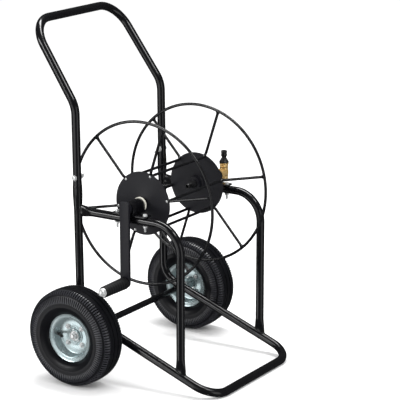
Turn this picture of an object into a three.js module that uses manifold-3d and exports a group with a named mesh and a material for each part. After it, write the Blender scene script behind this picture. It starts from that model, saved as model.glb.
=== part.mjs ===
// Garden hose reel cart: a bent-tube cart on two air tyres that carries a hand-cranked hose reel.
// Millimetres. +X is the cart's right, +Y is its back (the side the handle leans to), +Z is up.
// While it is built, X = 0 is the frame's middle, Y = 0 is the wheel axle and Z = 0 is the floor.
import * as THREE from "three";
import { mergeVertices } from "three/addons/utils/BufferGeometryUtils.js";
import Module from "manifold-3d";

const wasm = await Module();
wasm.setup();

// ---------------------------------------------------------------- driving dimensions
const GAP = 0.3; // clearance between pieces that touch
const RUNNING = 0.35; // clearance between pieces that turn on each other

// frame tubes
const TUBE_OD = 22;
const TUBE_WALL = 1.6;
const FRAME_HALF_WIDTH = 194.5; // middle of the cart to a tube's centre
const FRONT_REACH = 375.6; // axle to the crossbar on the floor
const REAR_BEND = 60;
const FRONT_BEND = 62;
const UPRIGHT_LEAN = 0.011; // backward run for each unit of height
const UPRIGHT_Y_AT_JOINT = 42.5;

// handle
const JOINT_HEIGHT = 504; // where the handle's legs stand on the uprights
const NECK_LENGTH = 60;
const NECK_TAPER = 4;
const HANDLE_BEND_HEIGHT = 716;
const HANDLE_TOP_HEIGHT = 922.4;
const HANDLE_TOP_Y = 189.2;
const HANDLE_LEAN_IN = 10.5; // how much nearer the middle each leg is at the top
const HANDLE_KNEE_BEND = 75;
const HANDLE_CORNER_BEND = 76;
const HANDLE_BOLT_ABOVE_JOINT = 26;
const HANDLE_BOLT_D = 8;
const HANDLE_BOLT_SHOWN = 14; // thread that stands past the tube, inside the wing nut

// side loops
const LOOP_HEIGHT = 443.3;
const LOOP_BEHIND_CROSSBAR = 99.7;
const LOOP_BEND = 76;
const FLARE_LENGTH = 42;
const FLARE_WIDTH = 1.42;
const FLARE_THICKNESS = 0.5;

// wheels
const WHEEL_RADIUS = 130;
const TYRE_WIDTH = 85;
const TYRE_CLEARANCE = 22.5; // a frame tube to the tyre's side
const RIM_RADIUS = 64;
const RIM_HALF_WIDTH = 26;
const RIM_SHEET = 2;
const RIM_PLATE_R = 48; // the flat middle of each stamped half
const HUB_RADIUS = 16.5;
const HUB_INWARD = 33; // from the wheel's middle towards the frame
const HUB_OUTWARD = 4;
const RIM_BOLT_CIRCLE = 31;
const AXLE_ROD_D = 12.4;
const AXLE_TUBE_OD = 17.2;
const AXLE_NUT_HEIGHT = 7;
const AXLE_THREAD_SHOWN = 3;
const WASHER_SHEET = 2;
const INNER_WASHER_R = 12.5;
const OUTER_WASHER_R = 13.5;
const RIM_BOLT_HOLE_R = 3.4;
const TYRE_BEAD_DEPTH = 7; // how far the tyre reaches inside the rim's lip
const TYRE_SIDE_WALL = 7;
const TYRE_SHOULDER_WALL = 9;

// reel
const REEL_BEHIND_LOOP_FRONT = 149.9;
const REEL_CENTRE_X = -15.2;
const REEL_HALF_LENGTH = 129.5; // middle of the reel to a wire rim's plane
const REEL_RIM_RADIUS = 213;
const REEL_RIM_WIRE = 8;
const ROD_WIRE = 7.6;
const ROD_COUNT = 6;
const ROD_START_ANGLE = 48; // degrees from +Y towards +Z
const CORE_RADIUS = 78;
const ROD_BEND = 13;
const DISC_RADIUS = 83.5;
const DISC_SHEET = 2.5;
const DISC_COLLAR_R = 19;
const DISC_COLLAR_LENGTH = 16;
const SHAFT_OD = 21.3;
const SHAFT_BORE = 15;
const WATERWAY_R = 5;
const SHAFT_PAST_COLLAR = 4; // each stub shaft shows this much inside the core
const HOSE_TAIL_LENGTH = 34;

// bearings on the side loops
const BUSH_WALL = 2.7;
const BUSH_FLANGE_R = 19.5;
const BUSH_FLANGE = 6;
const HOUSING_WALL = 4;
const HOUSING_FLOOR = 1.7; // metal between the bore and the foot plate's top
const HOUSING_INWARD = 36; // from a side loop's centre towards the reel
const HOUSING_OUTWARD = 15.5;
const FOOT_SHEET = 3;
const FOOT_WIDTH = 30;
const FOOT_HALF_LENGTH = 53;
const BRACKET_BOLT_HALF_PITCH = 43;
const BRACKET_BOLT_D = 6;
const BRACKET_BOLT_SHOWN = 16;

// crank
const ARM_LENGTH = 191.5; // shaft axis to grip axis
const ARM_WIDTH = 28;
const ARM_SHEET = 8;
const ARM_ABOVE_AXIS = 21;
const ARM_CORNER = 4;
const ARM_OUTSIDE_HOUSING = 16; // housing's end to the arm's outer face
const SLEEVE_WALL = 5;
const GRIP_LENGTH = 93;
const GRIP_R = 16;
const GRIP_END_R = 14.6;
const SPINDLE_D = 8;

// water inlet
const SWIVEL_OUTSIDE_HOUSING = 38;
const SWIVEL_R = 11.5;
const SWIVEL_COLLAR_R = 13.2;
const SOCKET_WALL = 3.5;
const POST_BELOW = 21;

// ---------------------------------------------------------------- worked-out places
const FRAME_SIDES = 14;
const RIM_FLATS = 48;
const TUBE_R = TUBE_OD / 2;
const ROD_R = ROD_WIRE / 2;
const SHAFT_R = SHAFT_OD / 2;
const AXLE_R = AXLE_ROD_D / 2;
const BUSH_BORE_R = SHAFT_R + RUNNING;
const BUSH_R = BUSH_BORE_R + BUSH_WALL;
const HOUSING_BORE_R = BUSH_R + GAP;
const FOOT_Z = LOOP_HEIGHT + TUBE_R + GAP;
const REEL_Z = FOOT_Z + FOOT_SHEET + HOUSING_FLOOR + HOUSING_BORE_R;
const DISC_OFFSET = REEL_HALF_LENGTH + ROD_R + GAP + DISC_SHEET / 2;

// What stands on a side tube or beside it follows the frame's width and reach.
const HANDLE_TOP_HALF_WIDTH = FRAME_HALF_WIDTH - HANDLE_LEAN_IN;
const LOOP_FRONT_Y = LOOP_BEHIND_CROSSBAR - FRONT_REACH;
const REEL_Y = LOOP_FRONT_Y + REEL_BEHIND_LOOP_FRONT;
const WHEEL_TRACK_HALF = FRAME_HALF_WIDTH + TUBE_R + TYRE_CLEARANCE + TYRE_WIDTH / 2;
const HOUSING_INNER_X = FRAME_HALF_WIDTH - HOUSING_INWARD;
const HOUSING_OUTER_X = FRAME_HALF_WIDTH + HOUSING_OUTWARD;
const ARM_OUTER_X = HOUSING_OUTER_X + ARM_OUTSIDE_HOUSING;
const SWIVEL_X = HOUSING_OUTER_X + SWIVEL_OUTSIDE_HOUSING;

// The rail slopes down from just above the axle tube to the crossbar on the floor.
const RAIL_TO_AXLE = TUBE_R + AXLE_TUBE_OD / 2 + GAP;
const RAIL_DROP = WHEEL_RADIUS - TUBE_R;
const RAIL_ANGLE = Math.atan2(RAIL_DROP, FRONT_REACH)
  + Math.asin(RAIL_TO_AXLE / Math.hypot(RAIL_DROP, FRONT_REACH));
const railZ = (y) => TUBE_R + (y + FRONT_REACH) * Math.tan(RAIL_ANGLE);
const uprightY = (z) => UPRIGHT_Y_AT_JOINT + UPRIGHT_LEAN * (z - JOINT_HEIGHT);
const CORNER_Y = (UPRIGHT_Y_AT_JOINT + UPRIGHT_LEAN * (railZ(0) - JOINT_HEIGHT))
  / (1 - UPRIGHT_LEAN * Math.tan(RAIL_ANGLE));
const CORNER_Z = railZ(CORNER_Y);
const HANDLE_BORE_R = TUBE_R - TUBE_WALL;
const NECK_R = HANDLE_BORE_R - RUNNING;
const HANDLE_FOOT_Z = JOINT_HEIGHT + GAP;

// ---------------------------------------------------------------- materials
const paint = (color, roughness, metalness) =>
  new THREE.MeshStandardMaterial({ color, roughness, metalness });
const GLOSS_BLACK = paint(0x0c0c0d, 0.25, 0.3);
const SATIN_BLACK = paint(0x2c2c30, 0.6, 0.2);
const WIRE_BLACK = paint(0x101011, 0.35, 0.3);
const TYRE_RUBBER = paint(0x1c1c1f, 0.85, 0);
const GRIP_RUBBER = paint(0x19191b, 0.7, 0);
const BLACK_PLASTIC = paint(0x151516, 0.5, 0);
const ZINC = paint(0xc4cac8, 0.3, 0.9);
const STEEL = paint(0xb8babc, 0.3, 0.95);
const BRASS = paint(0xc99a3e, 0.3, 0.9);
const NYLON = paint(0xd9d7cb, 0.5, 0);

// ---------------------------------------------------------------- solid tools
function toSolid(geometry) {
  const bare = geometry.clone();
  bare.deleteAttribute("normal");
  if (bare.getAttribute("uv")) {
    bare.deleteAttribute("uv");
  }
  const merged = mergeVertices(bare, 1e-4);
  return new wasm.Manifold(new wasm.Mesh({
    numProp: 3,
    vertProperties: new Float32Array(merged.getAttribute("position").array),
    triVerts: new Uint32Array(merged.getIndex().array),
  }));
}

function toGeometry(solid) {
  const mesh = solid.getMesh();
  const geometry = new THREE.BufferGeometry();
  geometry.setAttribute("position", new THREE.BufferAttribute(mesh.vertProperties, 3));
  geometry.setIndex(new THREE.BufferAttribute(mesh.triVerts, 1));
  geometry.computeVertexNormals();
  return geometry;
}

function join(first, ...others) {
  return toGeometry(others.reduce((solid, other) => solid.add(toSolid(other)), toSolid(first)));
}

function cut(first, ...tools) {
  return toGeometry(tools.reduce((solid, tool) => solid.subtract(toSolid(tool)), toSolid(first)));
}

// ---------------------------------------------------------------- shape tools
const at = (x, y, z) => new THREE.Vector3(x, y, z);

function box(low, high) {
  const size = high.clone().sub(low);
  const middle = low.clone().add(high).multiplyScalar(0.5);
  return new THREE.BoxGeometry(size.x, size.y, size.z).translate(middle.x, middle.y, middle.z);
}

// A round bar, cone or, with six sides, a hexagon, between two points.
function bar(from, to, radius, sides = 20, endRadius = radius) {
  const along = to.clone().sub(from);
  const geometry = new THREE.CylinderGeometry(endRadius, radius, along.length(), sides);
  const turn = new THREE.Quaternion().setFromUnitVectors(at(0, 1, 0), along.clone().normalize());
  const middle = from.clone().add(to).multiplyScalar(0.5);
  return geometry.applyQuaternion(turn).translate(middle.x, middle.y, middle.z);
}

// A solid of revolution about the X axis. A profile is a list of [x, radius], either way round.
function turned(profile, sides = 28) {
  const points = profile.map(([x, radius]) => new THREE.Vector2(radius, x));
  if (THREE.ShapeUtils.area(points) < 0) {
    points.reverse();
  }
  return new THREE.LatheGeometry(points, sides).rotateZ(-Math.PI / 2);
}

// A pipe about a Z axis: [radius, z] points up its outside, and a straight bore.
function pipe(profile, boreRadius) {
  const outline = profile.map(([radius, z]) => new THREE.Vector2(radius, z));
  const foot = outline[0];
  const top = outline[outline.length - 1];
  const bore = [new THREE.Vector2(boreRadius, top.y), new THREE.Vector2(boreRadius, foot.y)];
  return new THREE.LatheGeometry([...outline, ...bore, foot.clone()], 14).rotateX(Math.PI / 2);
}

// Moves each vertex of a geometry by a function that changes the vector it is given.
function reshape(geometry, move) {
  const position = geometry.getAttribute("position");
  const vertex = new THREE.Vector3();
  for (let i = 0; i < position.count; i += 1) {
    move(vertex.fromBufferAttribute(position, i));
    position.setXYZ(i, vertex.x, vertex.y, vertex.z);
  }
  return geometry;
}

// A route through corners, each rounded by its own radius, for a section to follow.
class BentRoute extends THREE.Curve {
  constructor(corners, radii, bendSteps) {
    super();
    this.stations = [];
    const legs = corners.slice(1).map((corner, i) => corner.clone().sub(corners[i]).normalize());
    this.addStation(corners[0], legs[0]);
    radii.forEach((radius, i) => this.addBend(corners[i + 1], legs[i], legs[i + 1], radius, bendSteps));
    this.addStation(corners[corners.length - 1], legs[legs.length - 1]);
  }

  addStation(point, tangent) {
    this.stations.push({ point: point.clone(), tangent: tangent.clone() });
  }

  addBend(corner, inward, outward, radius, steps) {
    const angle = inward.angleTo(outward);
    const toCentre = outward.clone().addScaledVector(inward, -inward.dot(outward)).normalize();
    const start = corner.clone().addScaledVector(inward, -radius * Math.tan(angle / 2));
    for (let step = 0; step <= steps; step += 1) {
      const turn = (angle * step) / steps;
      const point = start.clone()
        .addScaledVector(toCentre, radius * (1 - Math.cos(turn)))
        .addScaledVector(inward, radius * Math.sin(turn));
      const tangent = inward.clone().multiplyScalar(Math.cos(turn))
        .addScaledVector(toCentre, Math.sin(turn));
      this.addStation(point, tangent);
    }
  }

  // Extra stations at these distances from both ends, so that the ends can be reshaped.
  addEndStations(runs) {
    const first = this.stations[0];
    const last = this.stations[this.stations.length - 1];
    const between = (end, run) => ({
      point: end.point.clone().addScaledVector(end.tangent, run),
      tangent: end.tangent,
    });
    this.stations.splice(this.stations.length - 1, 0, ...runs.map((run) => between(last, -run)).reverse());
    this.stations.splice(1, 0, ...runs.map((run) => between(first, run)));
    return this;
  }

  getUtoTmapping(u) {
    return u;
  }

  station(t) {
    return this.stations[Math.round(t * (this.stations.length - 1))];
  }

  getPoint(t) {
    return this.station(t).point.clone();
  }

  getTangent(t) {
    return this.station(t).tangent.clone();
  }
}

function swept(route, radius, sides) {
  const outline = [];
  for (let i = 0; i < sides; i += 1) {
    const angle = (2 * Math.PI * (i + 0.5)) / sides;
    outline.push(new THREE.Vector2(radius * Math.cos(angle), radius * Math.sin(angle)));
  }
  return new THREE.ExtrudeGeometry(new THREE.Shape(outline), {
    steps: route.stations.length - 1,
    extrudePath: route,
  });
}

// ---------------------------------------------------------------- the scene graph
const cart = new THREE.Group();

function place(name, geometry, material, x = 0, y = 0, z = 0) {
  const mesh = new THREE.Mesh(geometry, material);
  mesh.name = name;
  mesh.position.set(x, y, z);
  cart.add(mesh);
}

const SIDES = [["left", -1], ["right", 1]];

// ---------------------------------------------------------------- frame tubes
const NECK_TOP = JOINT_HEIGHT + NECK_LENGTH;

function frameRoute() {
  const half = (s) => [
    at(s * FRAME_HALF_WIDTH, uprightY(NECK_TOP), NECK_TOP),
    at(s * FRAME_HALF_WIDTH, CORNER_Y, CORNER_Z),
    at(s * FRAME_HALF_WIDTH, -FRONT_REACH, TUBE_R),
  ];
  const corners = [...half(-1), ...half(1).reverse()];
  const route = new BentRoute(corners, [REAR_BEND, FRONT_BEND, FRONT_BEND, REAR_BEND], 5);
  return route.addEndStations([NECK_LENGTH, NECK_LENGTH + NECK_TAPER]);
}

const alongUpright = (s, z) => at(s * FRAME_HALF_WIDTH, uprightY(z), z);

function handleBoltHole(s) {
  const z = JOINT_HEIGHT + HANDLE_BOLT_ABOVE_JOINT;
  const middle = alongUpright(s, z);
  const alongX = (distance) => middle.clone().setX(middle.x + distance);
  return bar(alongX(-TUBE_OD), alongX(TUBE_OD), HANDLE_BOLT_D / 2 + GAP, 12);
}

// Each upright is swaged down to a neck that the handle's leg slides over.
function swageNecks(geometry) {
  return reshape(geometry, (vertex) => {
    const axis = alongUpright(Math.sign(vertex.x), vertex.z);
    const run = NECK_TOP - vertex.z - NECK_LENGTH;
    const narrow = 1 - THREE.MathUtils.clamp(run / NECK_TAPER, 0, 1);
    const scale = 1 - (1 - NECK_R / TUBE_R) * narrow;
    vertex.x = axis.x + (vertex.x - axis.x) * scale;
    vertex.y = axis.y + (vertex.y - axis.y) * scale;
  });
}

function mainFrame() {
  const tube = swageNecks(swept(frameRoute(), TUBE_R, FRAME_SIDES));
  return cut(tube, handleBoltHole(-1), handleBoltHole(1));
}

function handleBar() {
  const half = (s) => [
    alongUpright(s, HANDLE_FOOT_Z),
    alongUpright(s, HANDLE_BEND_HEIGHT),
    at(s * HANDLE_TOP_HALF_WIDTH, HANDLE_TOP_Y, HANDLE_TOP_HEIGHT),
  ];
  const corners = [...half(-1), ...half(1).reverse()];
  const radii = [HANDLE_KNEE_BEND, HANDLE_CORNER_BEND, HANDLE_CORNER_BEND, HANDLE_KNEE_BEND];
  const tube = swept(new BentRoute(corners, radii, 5), TUBE_R, FRAME_SIDES);
  const bores = SIDES.map(([, s]) => bar(
    alongUpright(s, HANDLE_FOOT_Z - 1),
    alongUpright(s, NECK_TOP + NECK_TAPER),
    HANDLE_BORE_R,
    24,
  ));
  return cut(tube, ...bores, handleBoltHole(-1), handleBoltHole(1));
}

// The loop's two ends are pressed flat: thinner across the cart, wider along the tube they meet.
function flattenEnds(geometry, s) {
  const footZ = railZ(LOOP_FRONT_Y) + TUBE_R;
  const rearY = uprightY(LOOP_HEIGHT) - TUBE_R;
  const middleX = s * FRAME_HALF_WIDTH;
  return reshape(geometry, (vertex) => {
    const onPost = vertex.z < LOOP_HEIGHT - LOOP_BEND;
    const run = onPost ? vertex.z - footZ : rearY - vertex.y;
    const flat = 1 - THREE.MathUtils.smoothstep(run, 0, FLARE_LENGTH);
    const wide = 1 + (FLARE_WIDTH - 1) * flat;
    const thin = 1 - (1 - FLARE_THICKNESS) * flat;
    vertex.x = middleX + (vertex.x - middleX) * thin;
    if (onPost) {
      vertex.y = LOOP_FRONT_Y + (vertex.y - LOOP_FRONT_Y) * wide;
    } else {
      vertex.z = LOOP_HEIGHT + (vertex.z - LOOP_HEIGHT) * wide;
    }
  });
}

const bracketBoltY = (end) => REEL_Y + end * BRACKET_BOLT_HALF_PITCH;

function bracketBoltHole(s, end) {
  const x = s * FRAME_HALF_WIDTH;
  const y = bracketBoltY(end);
  const radius = BRACKET_BOLT_D / 2 + GAP;
  return bar(at(x, y, LOOP_HEIGHT - TUBE_OD), at(x, y, FOOT_Z + TUBE_OD), radius, 10);
}

function sideLoop(s) {
  const x = s * FRAME_HALF_WIDTH;
  const corners = [
    at(x, LOOP_FRONT_Y, railZ(LOOP_FRONT_Y)),
    at(x, LOOP_FRONT_Y, LOOP_HEIGHT),
    at(x, uprightY(LOOP_HEIGHT), LOOP_HEIGHT),
  ];
  const runs = [0, 0.33, 0.67, 1].map((share) => TUBE_R + FLARE_LENGTH * share);
  const route = new BentRoute(corners, [LOOP_BEND], 7).addEndStations(runs);
  const tube = flattenEnds(swept(route, TUBE_R, FRAME_SIDES), s);
  const frameTube = swept(frameRoute(), TUBE_R + GAP, 16);
  return cut(tube, frameTube, bracketBoltHole(s, -1), bracketBoltHole(s, 1));
}

place("main_frame", mainFrame(), GLOSS_BLACK);
place("handle_bar", handleBar(), GLOSS_BLACK);
SIDES.forEach(([side, s]) => place(`side_loop_${side}`, sideLoop(s), GLOSS_BLACK));

// ---------------------------------------------------------------- handle fasteners
function handleBolt(s) {
  const middle = alongUpright(s, JOINT_HEIGHT + HANDLE_BOLT_ABOVE_JOINT);
  const alongX = (distance) => middle.clone().setX(middle.x + s * distance);
  const radius = HANDLE_BOLT_D / 2;
  const seat = TUBE_R + GAP;
  const shank = bar(alongX(seat + 1), alongX(-seat - HANDLE_BOLT_SHOWN), radius, 12);
  const head = bar(alongX(seat), alongX(seat + 4), radius * 1.9, 16, radius * 1.3);
  return join(shank, head);
}

function wingNut(s) {
  const middle = alongUpright(s, JOINT_HEIGHT + HANDLE_BOLT_ABOVE_JOINT);
  const radius = HANDLE_BOLT_D / 2;
  const x = middle.x - s * (TUBE_R + GAP);
  const alongX = (distance, y = 0, z = 0) => at(x - s * distance, middle.y + y, middle.z + z);
  const boss = bar(alongX(0), alongX(8), radius + 3.4, 16, radius + 2.2);
  const wings = [-1, 1].map((end) => {
    const outline = new THREE.Shape([[4, 1], [12, 5], [17, 12], [15, 15], [10, 11], [4, 7]].map(
      ([y, run]) => new THREE.Vector2(end * y, run)));
    const wing = new THREE.ExtrudeGeometry(outline, { depth: 2.6, bevelEnabled: false });
    wing.translate(0, 0, -1.3);
    wing.rotateX(Math.PI / 2);
    wing.rotateY(-s * Math.PI / 2);
    wing.rotateX(Math.PI / 2 + 0.5);
    return wing.translate(x, middle.y, middle.z);
  });
  const hole = bar(alongX(-1), alongX(20), radius + GAP, 12);
  return cut(join(boss, ...wings), hole);
}

SIDES.forEach(([side, s]) => {
  place(`handle_bolt_${side}`, handleBolt(s), STEEL);
  place(`wing_nut_${side}`, wingNut(s), STEEL);
});

// ---------------------------------------------------------------- axle and wheels
const HUB_INNER_X = WHEEL_TRACK_HALF - HUB_INWARD;
const HUB_OUTER_X = WHEEL_TRACK_HALF + HUB_OUTWARD;
const AXLE_TUBE_END = HUB_INNER_X - GAP * 2 - WASHER_SHEET;
const AXLE_END = HUB_OUTER_X + GAP * 2 + WASHER_SHEET + AXLE_NUT_HEIGHT + AXLE_THREAD_SHOWN;

place("axle_tube", cut(
  bar(at(-AXLE_TUBE_END, 0, 0), at(AXLE_TUBE_END, 0, 0), AXLE_TUBE_OD / 2, 20),
  bar(at(-AXLE_TUBE_END - 1, 0, 0), at(AXLE_TUBE_END + 1, 0, 0), AXLE_R + RUNNING, 20),
), GLOSS_BLACK, 0, 0, WHEEL_RADIUS);

place("axle_rod", bar(at(-AXLE_END, 0, 0), at(AXLE_END, 0, 0), AXLE_R, 16), STEEL, 0, 0, WHEEL_RADIUS);

function washer(x, radius) {
  const half = WASHER_SHEET / 2;
  return cut(
    bar(at(x - half, 0, 0), at(x + half, 0, 0), radius, 20),
    bar(at(x - WASHER_SHEET, 0, 0), at(x + WASHER_SHEET, 0, 0), AXLE_R + RUNNING, 16),
  );
}

function axleNut(x) {
  const half = AXLE_NUT_HEIGHT / 2;
  return cut(
    bar(at(x - half, 0, 0), at(x + half, 0, 0), AXLE_R * 1.75, 6),
    bar(at(x - half - 1, 0, 0), at(x + half + 1, 0, 0), AXLE_R + RUNNING, 16),
  );
}

SIDES.forEach(([side, s]) => {
  const inner = s * (AXLE_TUBE_END + GAP + WASHER_SHEET / 2);
  const outer = s * (HUB_OUTER_X + GAP + WASHER_SHEET / 2);
  const nut = s * (HUB_OUTER_X + GAP * 2 + WASHER_SHEET + AXLE_NUT_HEIGHT / 2);
  place(`inner_washer_${side}`, washer(inner, INNER_WASHER_R), STEEL, 0, 0, WHEEL_RADIUS);
  place(`outer_washer_${side}`, washer(outer, OUTER_WASHER_R), STEEL, 0, 0, WHEEL_RADIUS);
  place(`axle_nut_${side}`, axleNut(nut), STEEL, 0, 0, WHEEL_RADIUS);
});

// The tyre's section, from its outer bead over the crown to its inner bead and back inside.
function tyreProfile() {
  const halfWidth = TYRE_WIDTH / 2;
  const beadX = RIM_HALF_WIDTH - RIM_SHEET - GAP;
  const beadR = RIM_RADIUS - TYRE_BEAD_DEPTH;
  const shoulder = [
    [beadX, beadR],
    [beadX, RIM_RADIUS],
    [halfWidth * 0.88, WHEEL_RADIUS * 0.57],
    [halfWidth, WHEEL_RADIUS * 0.74],
    [halfWidth * 0.96, WHEEL_RADIUS * 0.89],
    [halfWidth * 0.78, WHEEL_RADIUS * 0.972],
    [halfWidth * 0.4, WHEEL_RADIUS * 0.996],
  ];
  const inside = [
    [halfWidth - TYRE_SHOULDER_WALL, WHEEL_RADIUS * 0.87],
    [halfWidth - TYRE_SIDE_WALL, WHEEL_RADIUS * 0.7],
    [beadX - TYRE_SIDE_WALL, RIM_RADIUS],
    [beadX - TYRE_SIDE_WALL, beadR],
  ];
  const mirrored = (points) => points.map(([x, radius]) => [-x, radius]).reverse();
  return [
    ...shoulder,
    [0, WHEEL_RADIUS],
    ...mirrored(shoulder),
    ...mirrored(inside),
    [0, WHEEL_RADIUS - TYRE_SHOULDER_WALL],
    ...inside,
    shoulder[0],
  ];
}

// One stamped half of a rim: clamped flange in the middle, drop, bead seat and rolled lip.
function rimHalfProfile() {
  return [
    [GAP / 2, HUB_RADIUS + GAP],
    [GAP / 2, RIM_PLATE_R + 1.5],
    [7, RIM_PLATE_R + 4],
    [RIM_HALF_WIDTH - RIM_SHEET, RIM_RADIUS - 10],
    [RIM_HALF_WIDTH - RIM_SHEET, RIM_RADIUS - 1],
    [RIM_HALF_WIDTH + 1.4, RIM_RADIUS],
    [RIM_HALF_WIDTH, RIM_RADIUS - 4],
    [RIM_HALF_WIDTH, RIM_RADIUS - 12],
    [8.5, RIM_PLATE_R + 2],
    [RIM_SHEET + GAP / 2, RIM_PLATE_R],
    [RIM_SHEET + GAP / 2, HUB_RADIUS + GAP],
    [GAP / 2, HUB_RADIUS + GAP],
  ];
}

function rimHalf(half) {
  const shell = turned(rimHalfProfile().map(([x, radius]) => [half * x, radius]), 22);
  const holes = [0, 1, 2, 3].map((i) => {
    const angle = Math.PI / 4 + (i * Math.PI) / 2;
    const y = RIM_BOLT_CIRCLE * Math.cos(angle);
    const z = RIM_BOLT_CIRCLE * Math.sin(angle);
    return bar(at(-10, y, z), at(10, y, z), RIM_BOLT_HOLE_R, 8);
  });
  return cut(shell, ...holes);
}

function hub(s) {
  const tube = bar(at(-s * HUB_INWARD, 0, 0), at(s * HUB_OUTWARD, 0, 0), HUB_RADIUS, 24);
  const past = HUB_INWARD + 5;
  return cut(tube, bar(at(-past, 0, 0), at(past, 0, 0), AXLE_R + RUNNING, 20));
}

// The valve stands on the outer half's seat and leans out of the recess.
function valve(s) {
  const foot = at(s * 10, 0, 47);
  const tip = at(s * 22, 0, 27);
  const neck = foot.clone().lerp(tip, 0.55);
  return join(bar(foot, neck.clone().lerp(tip, 0.05), 3.2, 10), bar(neck, tip, 4.2, 10));
}

function rotatedValve(s) {
  return valve(s).rotateX(s < 0 ? -1.6 : -0.6);
}

SIDES.forEach(([side, s]) => {
  const x = s * WHEEL_TRACK_HALF;
  place(`tyre_${side}`, turned(tyreProfile(), 30), TYRE_RUBBER, x, 0, WHEEL_RADIUS);
  place(`rim_outer_${side}`, rimHalf(s), ZINC, x, 0, WHEEL_RADIUS);
  place(`rim_inner_${side}`, rimHalf(-s), ZINC, x, 0, WHEEL_RADIUS);
  place(`hub_${side}`, hub(s), STEEL, x, 0, WHEEL_RADIUS);
  place(`valve_${side}`, rotatedValve(s), BLACK_PLASTIC, x, 0, WHEEL_RADIUS);
});

// ---------------------------------------------------------------- reel bearings
function bearingBracket(s) {
  const onAxis = (distance) => at(s * distance, REEL_Y, REEL_Z);
  const outside = HOUSING_BORE_R + HOUSING_WALL;
  const housing = bar(onAxis(HOUSING_INNER_X), onAxis(HOUSING_OUTER_X), outside, 28);
  const half = FOOT_WIDTH / 2;
  const middle = s * FRAME_HALF_WIDTH;
  const foot = box(
    at(middle - half, REEL_Y - FOOT_HALF_LENGTH, FOOT_Z),
    at(middle + half, REEL_Y + FOOT_HALF_LENGTH, FOOT_Z + FOOT_SHEET),
  );
  const below = box(
    at(middle - outside * 2, REEL_Y - outside, FOOT_Z - outside),
    at(middle + outside * 2, REEL_Y + outside, FOOT_Z),
  );
  const bore = bar(onAxis(HOUSING_INNER_X - 5), onAxis(HOUSING_OUTER_X + 5), HOUSING_BORE_R, 28);
  return cut(join(housing, foot), below, bore, bracketBoltHole(s, -1), bracketBoltHole(s, 1));
}

function bush(s) {
  const inner = HOUSING_INNER_X - GAP - BUSH_FLANGE;
  const seat = HOUSING_INNER_X - GAP;
  const outline = [
    [inner, BUSH_BORE_R],
    [inner, BUSH_FLANGE_R - 1],
    [inner + 1, BUSH_FLANGE_R],
    [seat, BUSH_FLANGE_R],
    [seat, BUSH_R],
    [HOUSING_OUTER_X, BUSH_R],
    [HOUSING_OUTER_X, BUSH_BORE_R],
    [inner, BUSH_BORE_R],
  ];
  return turned(outline.map(([x, radius]) => [s * x, radius]), 20);
}

function bracketBolt(s, end) {
  const x = s * FRAME_HALF_WIDTH;
  const y = bracketBoltY(end);
  const seat = FOOT_Z + FOOT_SHEET + GAP;
  const radius = BRACKET_BOLT_D / 2;
  const shank = bar(at(x, y, LOOP_HEIGHT - TUBE_R - BRACKET_BOLT_SHOWN), at(x, y, seat + 1), radius, 10);
  return join(shank, bar(at(x, y, seat), at(x, y, seat + 4), radius * 1.9, 6));
}

function bracketNut(s, end) {
  const x = s * FRAME_HALF_WIDTH;
  const y = bracketBoltY(end);
  const top = LOOP_HEIGHT - TUBE_R - GAP;
  return cut(
    bar(at(x, y, top - 5), at(x, y, top), BRACKET_BOLT_D * 0.95, 6),
    bar(at(x, y, top - 10), at(x, y, top + 5), BRACKET_BOLT_D / 2 + GAP, 10),
  );
}

SIDES.forEach(([side, s]) => {
  place(`bearing_bracket_${side}`, bearingBracket(s), GLOSS_BLACK);
  place(`nylon_bush_${side}`, bush(s), NYLON, 0, REEL_Y, REEL_Z);
  [["front", -1], ["rear", 1]].forEach(([end, sign]) => {
    place(`bracket_bolt_${side}_${end}`, bracketBolt(s, sign), STEEL);
    place(`bracket_nut_${side}_${end}`, bracketNut(s, sign), STEEL);
  });
});

// ---------------------------------------------------------------- reel
const SHAFT_LEFT = -(ARM_OUTER_X - ARM_SHEET - GAP);
const SHAFT_RIGHT = SWIVEL_X - SWIVEL_R - 3;

const COLLAR_INNER = DISC_OFFSET - DISC_SHEET / 2 - DISC_COLLAR_LENGTH;
const CRANK_STUB_END = REEL_CENTRE_X - COLLAR_INNER + SHAFT_PAST_COLLAR;
const INLET_STUB_END = REEL_CENTRE_X + COLLAR_INNER - SHAFT_PAST_COLLAR;

place("crank_shaft", bar(at(SHAFT_LEFT, 0, 0), at(CRANK_STUB_END, 0, 0), SHAFT_R, 24),
  STEEL, 0, REEL_Y, REEL_Z);
place("inlet_shaft", cut(
  bar(at(INLET_STUB_END, 0, 0), at(SHAFT_RIGHT, 0, 0), SHAFT_R, 24),
  bar(at(INLET_STUB_END - 1, 0, 0), at(SHAFT_RIGHT + 1, 0, 0), SHAFT_BORE / 2, 16),
), STEEL, 0, REEL_Y, REEL_Z);

// The reel's hose is pushed on a tail that points along the axis from the inlet's shaft.
const hoseTail = pipe([
  [SHAFT_R, 0],
  [SHAFT_R, 9],
  [6.4, 10],
  [6.4, HOSE_TAIL_LENGTH - 3],
  [5.4, HOSE_TAIL_LENGTH],
], WATERWAY_R - 0.5).rotateY(-Math.PI / 2);

place("hose_outlet", hoseTail, BLACK_PLASTIC, INLET_STUB_END - GAP, REEL_Y, REEL_Z);

function reelDisc(s) {
  const inner = DISC_OFFSET - DISC_SHEET / 2;
  const outer = DISC_OFFSET + DISC_SHEET / 2;
  const plate = bar(at(s * inner, 0, 0), at(s * outer, 0, 0), DISC_RADIUS, 48);
  const collar = bar(at(s * (inner - DISC_COLLAR_LENGTH), 0, 0), at(s * outer, 0, 0), DISC_COLLAR_R, 24);
  const bore = bar(at(s * (inner - 40), 0, 0), at(s * (outer + 5), 0, 0), SHAFT_R + RUNNING, 24);
  return cut(join(plate, collar), bore);
}

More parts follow.
